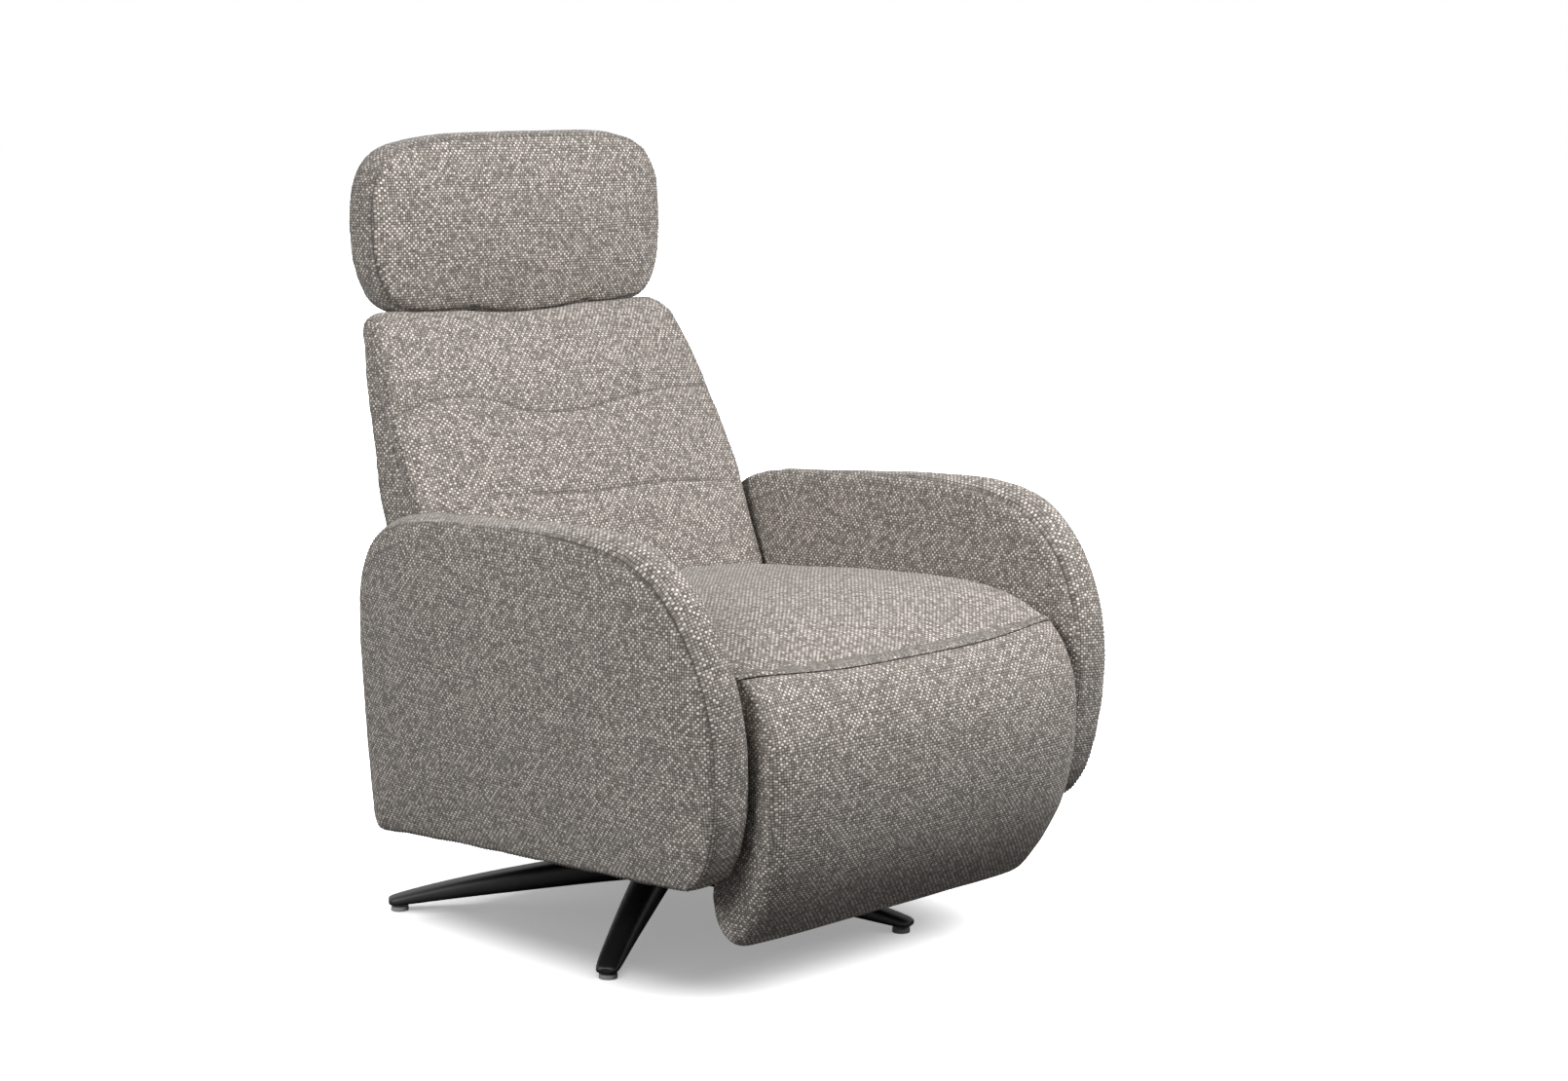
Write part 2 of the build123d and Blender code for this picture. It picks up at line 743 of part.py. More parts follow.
valance_front_y = valance_y - valance_thickness
with BuildPart() as valance_cleats:
    with BuildSketch(Plane.XY.offset(underside_z)):
        for sign in (1, -1):
            with Locations((sign * (panel_inner_x + panel_thickness / 2), recline_y + axle_boss_radius)):
                Rectangle(
                    panel_thickness,
                    valance_front_y - recline_y - axle_boss_radius,
                    align=(Align.CENTER, Align.MIN),
                )
    extrude(amount=cross_rail_height)
finish(valance_cleats, "valance_cleats")

# ---------------------------------------------------------------- footrest
roller_root = about(pivot, roller_radius, -45)


def footrest_profile(crown, inset):
    """The footrest's outline from the side, with its roller about the pivot."""
    seam = (seam_y, seam_z)
    front_y = footrest_front_y - crown + inset
    front = (front_y, footrest_full_z)
    middle = (front_y + footrest_middle_setback, footrest_middle_z)
    belly = (front_y + footrest_belly_setback + 0.2 * crown, footrest_belly_z - 0.5 * crown)
    toe_z = footrest_bottom_z + footrest_toe_rise - 0.8 * crown + 0.6 * inset
    toe = (front_y + footrest_toe_setback + 0.5 * crown - 0.4 * inset, toe_z)
    bottom = (footrest_front_y + footrest_bottom_setback, footrest_bottom_z - crown + inset)
    heel = ((bottom[0] + footrest_inner_y) / 2 + 11, footrest_bottom_z + 15 - 0.6 * crown + 0.5 * inset)
    inner = (footrest_inner_y, footrest_inner_z)
    with BuildSketch() as profile:
        with BuildLine():
            shoulder_y = front_y + footrest_shoulder_setback + 0.3 * crown - 0.3 * inset
            shoulder = (shoulder_y, seam_z - footrest_shoulder_drop + 0.6 * crown - 0.5 * inset)
            ThreePointArc(seam, shoulder, front)
            ThreePointArc(front, middle, belly)
            ThreePointArc(belly, toe, bottom)
            ThreePointArc(bottom, heel, inner)
            Line(inner, roller_root)
            ThreePointArc(roller_root, about(pivot, roller_radius, 20), seam)
        make_face()
    return profile.sketch


def inner_line(z, forward):
    """A point (y, z) in front of the footrest's inner face."""
    share = (z - footrest_inner_z) / (roller_root[1] - footrest_inner_z)
    return footrest_inner_y + share * (roller_root[0] - footrest_inner_y) - forward, z


footrest_stations = ((0.0, 1.0, 0), (0.5, 0.85, 0), (0.82, 0.35, 0), (0.955, 0.0, 2), (0.995, 0.0, 10))
board_top = inner_line(board_top_z, 0)
plate_low_z = board_top_z - hinge_plate_reach
plate_high_z = board_top_z - hinge_plate_reach * 0.43
board_outline = (
    inner_line(board_bottom_z, 0),
    inner_line(board_bottom_z, board_thickness),
    inner_line(board_top_z, board_thickness),
    board_top,
)

with BuildPart() as footrest_board:
    with BuildSketch(Plane.YZ):
        Polygon(*board_outline, align=None)
    extrude(amount=board_width / 2, both=True)
finish(footrest_board, "footrest_board")

for name, sign in (("left", 1), ("right", -1)):
    with BuildPart() as footrest_arm:
        with BuildSketch(Plane.YZ.offset(sign * (board_width + hinge_plate_thickness) / 2)):
            with BuildLine():
                Polyline(
                    (pivot[0] + hinge_eye_radius, pivot[1]),
                    (pivot[0] - hinge_eye_radius, pivot[1]),
                    inner_line(plate_high_z, plate_high_depth),
                    inner_line(plate_low_z, plate_low_depth),
                    inner_line(plate_low_z, 0.5),
                    inner_line(board_top_z, 0.5),
                    close=True,
                )
            make_face()
            with Locations(pivot):
                Circle(hinge_eye_radius)
                Circle(hinge_pin_diameter / 2 + running_gap, mode=Mode.SUBTRACT)
        extrude(amount=hinge_plate_thickness / 2, both=True)
    finish(footrest_arm, f"footrest_arm_{name}")

    with BuildPart() as footrest_bracket:
        with BuildSketch(Plane.YZ.offset(sign * (bracket_inner_x + bracket_outer_x) / 2)):
            with BuildLine():
                Polyline(
                    about(pivot, hinge_eye_radius, 50),
                    about(pivot, hinge_eye_radius, -130),
                    (box_front_y - hinge_plate_thickness, seat_deck_z - cross_rail_height),
                    (box_front_y, seat_deck_z - cross_rail_height),
                    (box_front_y, seat_deck_z),
                    close=True,
                )
            make_face()
            with Locations(pivot):
                Circle(hinge_eye_radius)
                Circle(hinge_pin_diameter / 2, mode=Mode.SUBTRACT)
        extrude(amount=hinge_plate_thickness / 2, both=True)
        with BuildSketch(Plane.XZ.offset(-box_front_y)):
            with Locations((sign * bracket_inner_x, seat_deck_z)):
                Rectangle(
                    40,
                    cross_rail_height,
                    align=(Align.MAX if sign > 0 else Align.MIN, Align.MAX),
                )
        extrude(amount=hinge_plate_thickness)
    finish(footrest_bracket, f"footrest_bracket_{name}")

pin_inner_x = board_width / 2 - 3
pin_outer_x = bracket_outer_x + 3
with BuildPart() as footrest_pins:
    with BuildSketch(Plane.YZ.offset(pin_inner_x)):
        with Locations(pivot):
            Circle(hinge_pin_diameter / 2)
    extrude(amount=pin_outer_x - pin_inner_x)
    mirror(about=Plane.YZ)
finish(footrest_pins, "footrest_pins")

slot_inner_x = pin_inner_x - 1
slot_outer_x = pin_outer_x + 1
with BuildPart() as footrest_cushion:
    for share, crown, inset in both_ways(footrest_stations):
        with BuildSketch(Plane.YZ.offset(share * seat_half)):
            add(footrest_profile(crown * footrest_crown, inset))
    loft(ruled=True)
    with BuildSketch(Plane.YZ):
        Polygon(*board_outline, align=None)
    extrude(amount=board_width / 2, both=True, mode=Mode.SUBTRACT)
    for sign in (1, -1):
        with BuildSketch(Plane.YZ.offset(sign * (slot_inner_x + slot_outer_x) / 2)):
            with BuildLine():
                Polyline(
                    about(pivot, hinge_eye_radius + 1, 150),
                    about(pivot, roller_radius + 5, 89),
                    about(pivot, 3 * roller_radius, 0),
                    inner_line(plate_low_z - 5, -15),
                    inner_line(plate_low_z - 5, plate_low_depth + 2),
                    inner_line(plate_high_z, plate_high_depth + 3),
                    (pivot[0] - hinge_eye_radius - 1, pivot[1]),
                    close=True,
                )
            make_face()
            with Locations(pivot):
                Circle(hinge_eye_radius + 1)
        extrude(amount=(slot_outer_x - slot_inner_x) / 2, both=True, mode=Mode.SUBTRACT)
finish(footrest_cushion, "footrest_cushion")

# ---------------------------------------------------------------- backrest
split_forward = upright_thickness / 2
skirt_z = on_back(back_bottom, back_front_offset)[1]


def back_profile(top, crown, rear_crown, inset):
    """The backrest's outline from the side, above its barrel."""
    front_low = on_back(back_bottom, back_front_offset + 0.5 * crown - inset)
    front_low = (front_low[0], skirt_z)
    front_high = on_back(top - 16, back_front_offset - inset)
    crest = on_back(top, back_front_offset - back_top_depth / 2)
    rear_high = on_back(top - 10, back_front_offset - back_top_depth + inset * 0.5)
    rear_low = (recline_y + barrel_radius - inset, skirt_z)
    with BuildSketch() as profile:
        with BuildLine():
            front_middle = on_back((top + back_bottom) / 2, back_front_offset + crown - inset)
            ThreePointArc(front_low, front_middle, front_high)
            ThreePointArc(front_high, crest, rear_high)
            middle = ((rear_high[0] + rear_low[0]) / 2, (rear_high[1] + rear_low[1]) / 2)
            bulge = rear_crown + 1
            ThreePointArc(rear_high, (middle[0] + bulge, middle[1] - bulge * 0.4), rear_low)
            Line(rear_low, front_low)
        make_face()
    return profile.sketch


back_stations = (
    (0.0, 0, 1.0, 1.0, 0),
    (0.52, 0, 0.82, 0.82, 0),
    (0.81, 6, 0.35, 0.4, 0),
    (0.93, 24, 0.08, 0.1, 2),
    (0.975, 55, 0.0, 0.0, 6),
    (0.997, 95, 0.0, 0.0, 14),
)
split_plane = Plane(
    origin=(0, *on_upright(0, split_forward)),
    x_dir=(1, 0, 0),
    z_dir=(0, -cos(radians(upright_lean)), sin(radians(upright_lean))),
)

with BuildPart() as back_form:
    for share, drop, crown, rear_crown, inset in both_ways(back_stations):
        with BuildSketch(Plane.YZ.offset(share * seat_half)):
            add(back_profile(back_top - drop, crown * back_crown, rear_crown * back_rear_crown, inset))
    loft(ruled=True)


def wavy_strip(end, hump, dip):
    """A sewn channel's strip, across the backrest's width and along its lean."""
    half_width = back_seam_width / 2
    with BuildSketch() as strip:
        with BuildLine():
            upper = Spline(
                (-seat_half, end + half_width),
                (-0.64 * seat_half, hump + half_width),
                (0, dip + half_width),
                (0.64 * seat_half, hump + half_width),
                (seat_half, end + half_width),
            )
            lower = Spline(
                (-seat_half, end - half_width),
                (-0.64 * seat_half, hump - half_width),
                (0, dip - half_width),
                (0.64 * seat_half, hump - half_width),
                (seat_half, end - half_width),
            )
            Line(upper @ 0, lower @ 0)
            Line(upper @ 1, lower @ 1)
        make_face()
    return strip.sketch


lean_plane = Plane(
    origin=(0, *recline),
    x_dir=(1, 0, 0),
    z_dir=(0, -cos(radians(back_lean)), sin(radians(back_lean))),
)
sunk = lean_plane.z_dir * -back_seam_depth
with BuildPart() as back_channels:
    with BuildSketch(lean_plane):
        add(wavy_strip(upper_seam_end, upper_seam_hump, upper_seam_dip))
        add(wavy_strip(lower_seam_end, lower_seam_hump, lower_seam_dip))
    extrude(amount=back_front_offset + 2 * back_crown)
    add(back_form.part.moved(Location(sunk)), mode=Mode.SUBTRACT)

with BuildPart() as back_cushion:
    add(back_form.part)
    split(bisect_by=split_plane, keep=Keep.TOP)
    add(back_channels.part, mode=Mode.SUBTRACT)
finish(back_cushion, "back_cushion")

upright_x = upright_spread / 2
frame_plane = Plane(
    origin=(0, *recline),
    x_dir=(1, 0, 0),
    z_dir=(0, -cos(radians(upright_lean)), sin(radians(upright_lean))),
)
crank_end = about(recline, crank_radius, -90 + crank_angle)
with BuildPart() as back_frame:
    with BuildSketch(frame_plane):
        for sign in (1, -1):
            with Locations((sign * upright_x, 0)):
                Rectangle(upright_width, upright_length, align=(Align.CENTER, Align.MIN))
        for height in (lower_cross_at, upper_cross_at):
            with Locations((0, height)):
                Rectangle(upright_spread, upright_width)
    extrude(amount=upright_thickness / 2, both=True)
    with BuildSketch(Plane.YZ):
        with Locations(recline):
            Circle(axle_tube_diameter / 2)
    extrude(amount=barrel_half - 2, both=True)
    with BuildSketch(Plane.YZ):
        with Locations(recline):
            Circle(axle_pin_diameter / 2)
    extrude(amount=panel_outer_x - 1, both=True)
    for sign in (1, -1):
        with BuildSketch(Plane.YZ.offset(sign * (crank_plate_gap + crank_plate_thickness) / 2)):
            with BuildLine():
                Polyline(
                    about(recline, axle_tube_diameter / 2, crank_angle),
                    about(recline, axle_tube_diameter / 2, crank_angle + 180),
                    about(crank_end, crank_pin_diameter, crank_angle + 180),
                    about(crank_end, crank_pin_diameter, crank_angle),
                    close=True,
                )
            make_face()
            with Locations(crank_end):
                Circle(crank_pin_diameter)
                Circle(crank_pin_diameter / 2, mode=Mode.SUBTRACT)
        extrude(amount=crank_plate_thickness / 2, both=True)
finish(back_frame, "back_frame")

with BuildPart() as crank_pin:
    with BuildSketch(Plane.YZ):
        with Locations(crank_end):
            Circle(crank_pin_diameter / 2)
    extrude(amount=crank_plate_gap / 2 + crank_plate_thickness + 2, both=True)
finish(crank_pin, "crank_pin")

post_half = post_spread / 2
with BuildPart() as headrest_posts:
    with BuildSketch(frame_plane):
        for sign in (1, -1):
            with Locations((sign * post_half, upright_length)):
                Rectangle(
                    post_width,
                    headrest_post_length,
                    align=(Align.CENTER, Align.MIN),
                )
    extrude(amount=upright_thickness / 2, both=True)
    for sign in (1, -1):
        with BuildSketch(Plane.YZ.offset(sign * post_half)):
            with Locations(headrest_hinge):
                Circle(headrest_eye_diameter / 2)
        extrude(amount=post_width / 2, both=True)
        with BuildSketch(Plane.YZ.offset(sign * post_half)):
            with Locations(headrest_hinge):
                Circle(headrest_pin_diameter / 2 + running_gap)
        extrude(amount=post_width / 2, both=True, mode=Mode.SUBTRACT)
finish(headrest_posts, "headrest_posts")

barrel_end = about(recline, barrel_radius, -barrel_sweep)
shell_inner = barrel_radius - shell_wall
with BuildPart() as back_shell:
    add(back_form.part)
    with BuildSketch(Plane.YZ):
        with BuildLine():
            Polyline(
                (recline_y - axle_tube_diameter * 0.56, skirt_z),
                (recline_y + barrel_radius, skirt_z),
                (recline_y + barrel_radius, recline_z),
            )
            ThreePointArc(
                (recline_y + barrel_radius, recline_z),
                about(recline, barrel_radius, -barrel_sweep / 2),
                barrel_end,
            )
            Polyline(
                barrel_end,
                about(recline, axle_tube_diameter * 0.8, 225),
                (recline_y - axle_tube_diameter * 0.56, skirt_z),
            )
        make_face()
    extrude(amount=barrel_half, both=True)
    split(bisect_by=split_plane, keep=Keep.BOTTOM)
    with BuildSketch(Plane.YZ):
        with BuildLine():
            Polyline(
                on_upright(-2 * barrel_radius, split_forward),
                on_upright(upright_length + 2, split_forward),
                on_upright(upright_length + 2, -split_forward - 1),
                (recline_y + shell_inner, skirt_z),
                (recline_y + shell_inner, recline_z),
            )
            ThreePointArc(
                (recline_y + shell_inner, recline_z),
                about(recline, shell_inner, -barrel_sweep / 2),
                about(recline, shell_inner, -barrel_sweep),
            )
            inner_end = about(recline, shell_inner, -barrel_sweep)
            beyond = about(recline, 2 * barrel_radius, -barrel_sweep)
            Polyline(inner_end, beyond, on_upright(-2 * barrel_radius, split_forward))
        make_face()
    extrude(amount=barrel_half - shell_wall, both=True, mode=Mode.SUBTRACT)
    add(back_frame.part, mode=Mode.SUBTRACT)
    add(headrest_posts.part, mode=Mode.SUBTRACT)
finish(back_shell, "back_shell")

strap_span = upright_spread - upright_width
with BuildPart() as back_webbing:
    with BuildSketch(split_plane.offset(-strap_thickness)):
        for height in back_strap_places + upper_strap_places:
            with Locations((0, height)):
                Rectangle(strap_span, strap_width)
    extrude(amount=strap_thickness)
finish(back_webbing, "back_webbing")

# ---------------------------------------------------------------- gas spring
gas_slide = crank_radius * 2 * sin(radians(crank_angle))
cylinder_back = crank_end[0] - gas_eye_diameter / 2 + 2
cylinder_front = cylinder_back - cylinder_length
rod_front = cylinder_front - gas_rod_length
with BuildPart() as gas_cylinder:
    with BuildSketch(Plane.YZ):
        with Locations((crank_end[0], gas_axis_z)):
            Circle(gas_eye_diameter / 2)
    extrude(amount=crank_plate_gap / 2 - 0.5, both=True)
    with BuildSketch(Plane.XZ.offset(-cylinder_back)):
        with Locations((0, gas_axis_z)):
            Circle(cylinder_diameter / 2)
    extrude(amount=cylinder_length)
    with BuildSketch(Plane.YZ):
        with Locations((crank_end[0], gas_axis_z)):
            Circle(gas_eye_bore / 2)
    extrude(amount=crank_plate_gap, both=True, mode=Mode.SUBTRACT)
    for sign in (1, -1):
        with BuildSketch(Plane.YZ.offset(sign * (crank_plate_gap / 2 - 0.5))):
            with Locations((crank_end[0], gas_axis_z)):
                Circle(gas_eye_diameter / 2 + 12)
        extrude(amount=sign * cylinder_diameter, mode=Mode.SUBTRACT)
    with BuildSketch(Plane.XZ.offset(-cylinder_front)):
        with Locations((0, gas_axis_z)):
            Circle(gas_rod_diameter / 2 + running_gap)
    extrude(amount=-(gas_slide + 20), mode=Mode.SUBTRACT)
finish(gas_cylinder, "gas_cylinder")

with BuildPart() as gas_rod:
    with BuildSketch(Plane.XZ.offset(-rod_front)):
        with Locations((0, gas_axis_z)):
            Circle(gas_rod_diameter / 2)
    extrude(amount=-(gas_rod_length + 15))
    with BuildSketch(Plane.XZ.offset(-rod_front)):
        with Locations((0, gas_axis_z)):
            Rectangle(release_head_size, release_head_size)
    extrude(amount=release_head_size)
    fillet(gas_rod.edges().filter_by(Axis.Y).filter_by(GeomType.LINE), 3)
finish(gas_rod, "gas_rod")

foot_y = rod_front - release_head_size
with BuildPart() as gas_foot:
    with BuildSketch(Plane.XY.offset(rail_top)):
        with Locations((0, foot_y)):
            Rectangle(
                chassis_rail_spread + chassis_rail_width,
                gas_foot_width,
                align=(Align.CENTER, Align.MAX),
            )
    extrude(amount=plate_thickness)
    with BuildSketch(Plane.XZ.offset(-foot_y)):
        with BuildLine():
            Polyline(
                (-gas_foot_width / 2 - 25, rail_top),
                (gas_foot_width / 2 + 25, rail_top),
                (release_head_size, gas_axis_z + release_head_size * 0.7),
                (-release_head_size, gas_axis_z + release_head_size * 0.7),
                close=True,
            )
        make_face()
    extrude(amount=plate_thickness)
finish(gas_foot, "gas_foot")

# ---------------------------------------------------------------- headrest
hinge_y, hinge_z = headrest_hinge
core_y = hinge_y


def headrest_profile(low, high, crown, rear_crown, inset):
    """The headrest's outline from the side."""
    front = headrest_front_y + inset
    rear = headrest_front_y + headrest_depth - inset
    middle_z = (low + high) / 2
    edge = min(14, (high - low) / 6)
    with BuildSketch() as profile:
        with BuildLine():
            ThreePointArc((front, low + edge), (front - crown - 0.5, middle_z), (front, high - edge))
            ThreePointArc((front, high - edge), ((front + rear) / 2, high), (rear, high - edge))
            ThreePointArc((rear, high - edge), (rear + rear_crown + 0.5, middle_z), (rear, low + edge))
            ThreePointArc((rear, low + edge), ((front + rear) / 2, low), (front, low + edge))
        make_face()
    return profile.sketch


headrest_stations = (
    (0.0, 1.0, -6, 1.0, 0),
    (0.5, 0.93, -5, 0.9, 0),
    (0.8, 0.68, 0, 0.55, 1),
    (0.93, 0.2, 14, 0.22, 4),
    (0.985, -0.6, 40, 0.0, 10),
    (1.0, -1.2, 66, 0.0, 18),
)
core_bottom_z = hinge_z - 2
core_top_z = headrest_top_z - 10
with BuildPart() as headrest_core:
    with BuildSketch(Plane.XZ.offset(-core_y - core_thickness / 2)):
        with Locations((0, core_bottom_z + 18)):
            Rectangle(
                headrest_width * 0.8,
                core_top_z - core_bottom_z - 18,
                align=(Align.CENTER, Align.MIN),
            )
    extrude(amount=core_thickness)
    for post in (post_half, -post_half):
        for side in (1, -1):
            ear_x = post + side * (post_width / 2 + hinge_plate_gap + hinge_plate_thickness / 2)
            with BuildSketch(Plane.YZ.offset(ear_x)):
                with Locations(headrest_hinge):
                    Circle(headrest_eye_diameter / 2)
                with Locations((core_y, hinge_z)):
                    Rectangle(
                        headrest_eye_diameter / 2,
                        core_bottom_z + 24 - hinge_z,
                        align=(Align.CENTER, Align.MIN),
                    )
                with Locations(headrest_hinge):
                    Circle(headrest_pin_diameter / 2, mode=Mode.SUBTRACT)
            extrude(amount=hinge_plate_thickness / 2, both=True)
finish(headrest_core, "headrest_core")

pin_reach = post_width / 2 + hinge_plate_gap + hinge_plate_thickness + 2
with BuildPart() as headrest_pins:
    with BuildSketch(Plane.YZ.offset(post_half)):
        with Locations(headrest_hinge):
            Circle(headrest_pin_diameter / 2)
    extrude(amount=pin_reach, both=True)
    mirror(about=Plane.YZ)
finish(headrest_pins, "headrest_pins")

with BuildPart() as headrest_cushion:
    for share, top_rise, low_rise, crown, inset in both_ways(headrest_stations):
        with BuildSketch(Plane.YZ.offset(share * headrest_width / 2)):
            add(
                headrest_profile(
                    headrest_bottom_z + low_rise,
                    headrest_top_z + top_rise * headrest_end_crown,
                    crown * headrest_crown,
                    crown * headrest_rear_crown,
                    inset,
                )
            )
    loft(ruled=True)
    add(headrest_core.part, mode=Mode.SUBTRACT)
    slot = headrest_eye_diameter / 2 + 3
    for sign in (1, -1):
        with BuildSketch(Plane.YZ.offset(sign * post_half)):
            with Locations(headrest_hinge):
                Circle(slot)
                Rectangle(2 * slot + 12, 40, align=(Align.CENTER, Align.MAX))
        extrude(amount=pin_reach + 1, both=True, mode=Mode.SUBTRACT)
finish(headrest_cushion, "headrest_cushion")

# ---------------------------------------------------------------- release lever and its cable
lever_inner_x = -seat_half - lever_gap
with BuildPart() as release_lever:
    with BuildSketch(Plane.YZ.offset(lever_inner_x)):
        with Locations((lever_y, lever_z)):
            Circle(lever_boss_radius)
            Rectangle(lever_width, lever_top_z - lever_z, align=(Align.CENTER, Align.MIN))
        with Locations((lever_y, lever_top_z)):
            Circle(lever_knob_radius)
        with Locations((lever_y, lever_z)):
            Circle(lever_pin_diameter / 2 + running_gap, mode=Mode.SUBTRACT)
    extrude(amount=-lever_thickness)
finish(release_lever, "release_lever")

with BuildPart() as lever_pin:
    with BuildSketch(Plane.YZ.offset(-panel_inner_x)):
        with Locations((lever_y, lever_z)):
            Circle(lever_pin_diameter / 2)
    extrude(amount=lever_inner_x - lever_thickness - lever_gap + panel_inner_x)
    with BuildSketch(Plane.YZ.offset(-panel_outer_x)):
        with Locations((lever_y, lever_z)):
            Circle(lever_boss_radius)
    extrude(amount=lever_inner_x + lever_gap / 2 + panel_outer_x)
finish(lever_pin, "lever_pin")

with BuildPart() as release_cable:
    with BuildLine() as route:
        ThreePointArc(
            (-panel_inner_x - cable_diameter, lever_y + lever_boss_radius, lever_z + lever_boss_radius),
            (-panel_inner_x * 0.6, (lever_y + rod_front) / 2, (lever_z + gas_axis_z) / 2 + 4),
            (cable_diameter - release_head_size / 2, rod_front - release_head_size / 2, gas_axis_z),
        )
    with BuildSketch(Plane(origin=route.line @ 0, z_dir=route.line % 0)):
        Circle(cable_diameter / 2)
    sweep()
    split(bisect_by=Plane.YZ.offset(-panel_inner_x), keep=Keep.TOP)
    split(bisect_by=Plane.YZ.offset(-release_head_size / 2), keep=Keep.BOTTOM)
finish(release_cable, "release_cable")
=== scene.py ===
import json
from bisect import bisect_left
from math import cos, exp, pi, radians, sin

import bmesh
import bpy
from mathutils import Matrix, Vector, kdtree, noise
from mathutils.bvhtree import BVHTree


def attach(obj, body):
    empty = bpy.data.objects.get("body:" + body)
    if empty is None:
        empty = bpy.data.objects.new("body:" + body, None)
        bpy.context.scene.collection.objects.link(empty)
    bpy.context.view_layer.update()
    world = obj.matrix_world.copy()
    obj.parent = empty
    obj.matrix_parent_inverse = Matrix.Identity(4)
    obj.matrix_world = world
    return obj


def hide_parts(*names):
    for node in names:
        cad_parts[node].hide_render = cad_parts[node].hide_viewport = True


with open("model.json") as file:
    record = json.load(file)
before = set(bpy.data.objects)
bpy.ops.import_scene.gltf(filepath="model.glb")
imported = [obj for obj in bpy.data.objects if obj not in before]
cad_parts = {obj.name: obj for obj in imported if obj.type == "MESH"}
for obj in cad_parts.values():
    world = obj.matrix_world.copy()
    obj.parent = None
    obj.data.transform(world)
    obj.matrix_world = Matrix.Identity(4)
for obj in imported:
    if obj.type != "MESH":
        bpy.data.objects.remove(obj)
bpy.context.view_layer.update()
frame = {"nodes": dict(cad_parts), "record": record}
print("frame loaded:", len(frame["nodes"]), "nodes")

mm = 0.001
scene = bpy.context.scene


def makeMaterial(name):
    material = bpy.data.materials.new(name)
    material.use_nodes = True
    nodes = material.node_tree.nodes
    nodes.clear()
    output = nodes.new("ShaderNodeOutputMaterial")
    shader = nodes.new("ShaderNodeBsdfPrincipled")
    material.node_tree.links.new(shader.outputs["BSDF"], output.inputs["Surface"])
    return material, material.node_tree, shader


def addNode(tree, kind, **values):
    node = tree.nodes.new(kind)
    for key, value in values.items():
        setattr(node, key, value)
    return node


def mathNode(tree, operation, first, second=None, third=None):
    node = addNode(tree, "ShaderNodeMath", operation=operation)
    for socket, value in zip(node.inputs, (first, second, third)):
        if value is None:
            continue
        if isinstance(value, (int, float)):
            socket.default_value = value
        else:
            tree.links.new(value, socket)
    return node.outputs[0]


def mixColour(tree, factor, first, second, blend="MIX"):
    node = addNode(tree, "ShaderNodeMix", data_type="RGBA", blend_type=blend)
    sockets = [s for s in node.inputs if s.enabled]
    for socket, value in zip(sockets, (factor, first, second)):
        if isinstance(value, (int, float)):
            socket.default_value = value
        elif isinstance(value, tuple):
            socket.default_value = (*value, 1.0)
        else:
            tree.links.new(value, socket)
    return next(s for s in node.outputs if s.enabled)


def rampNode(tree, value, low, high):
    node = addNode(tree, "ShaderNodeMapRange", interpolation_type="SMOOTHSTEP")
    node.inputs["From Min"].default_value = low
    node.inputs["From Max"].default_value = high
    tree.links.new(value, node.inputs["Value"])
    return node.outputs["Result"]


def noiseNode(tree, vector, scale, detail=2.0, roughness=0.5):
    node = addNode(tree, "ShaderNodeTexNoise")
    node.inputs["Scale"].default_value = scale
    node.inputs["Detail"].default_value = detail
    node.inputs["Roughness"].default_value = roughness
    tree.links.new(vector, node.inputs["Vector"])
    return node


def addBump(tree, shader, height, strength, distance):
    bump = addNode(tree, "ShaderNodeBump")
    bump.inputs["Strength"].default_value = strength
    bump.inputs["Distance"].default_value = distance
    tree.links.new(height, bump.inputs["Height"])
    tree.links.new(bump.outputs["Normal"], shader.inputs["Normal"])


def newGroup(name, inputs, outputs):
    group = bpy.data.node_groups.new(name, "ShaderNodeTree")
    for label, kind, value in inputs:
        socket = group.interface.new_socket(name=label, in_out="INPUT", socket_type=kind)
        if value is not None:
            socket.default_value = value
    for label, kind in outputs:
        group.interface.new_socket(name=label, in_out="OUTPUT", socket_type=kind)
    start = group.nodes.new("NodeGroupInput")
    end = group.nodes.new("NodeGroupOutput")
    return group, start, end


def placeGroup(tree, group, **values):
    node = addNode(tree, "ShaderNodeGroup", node_tree=group)
    for label, value in values.items():
        socket = node.inputs[label]
        if isinstance(value, (int, float)):
            socket.default_value = value
        else:
            tree.links.new(value, socket)
    return node


# a drift's scale and strength, where a float and a gap start and end, how far a slub runs along its yarn
weaveLook = {
    "drifts": ((0.13, 1.0), (0.018, 5.0)), "uneven": 0.7, "pale": (0.1, 0.62), "gap": (0.02, 0.34),
    "round": 0.5, "bulge": 0.65, "lift": 0.35, "stretch": 0.28, "slubScale": 0.83,
    "columnShift": (11.3, 4.1, 0.0),
}


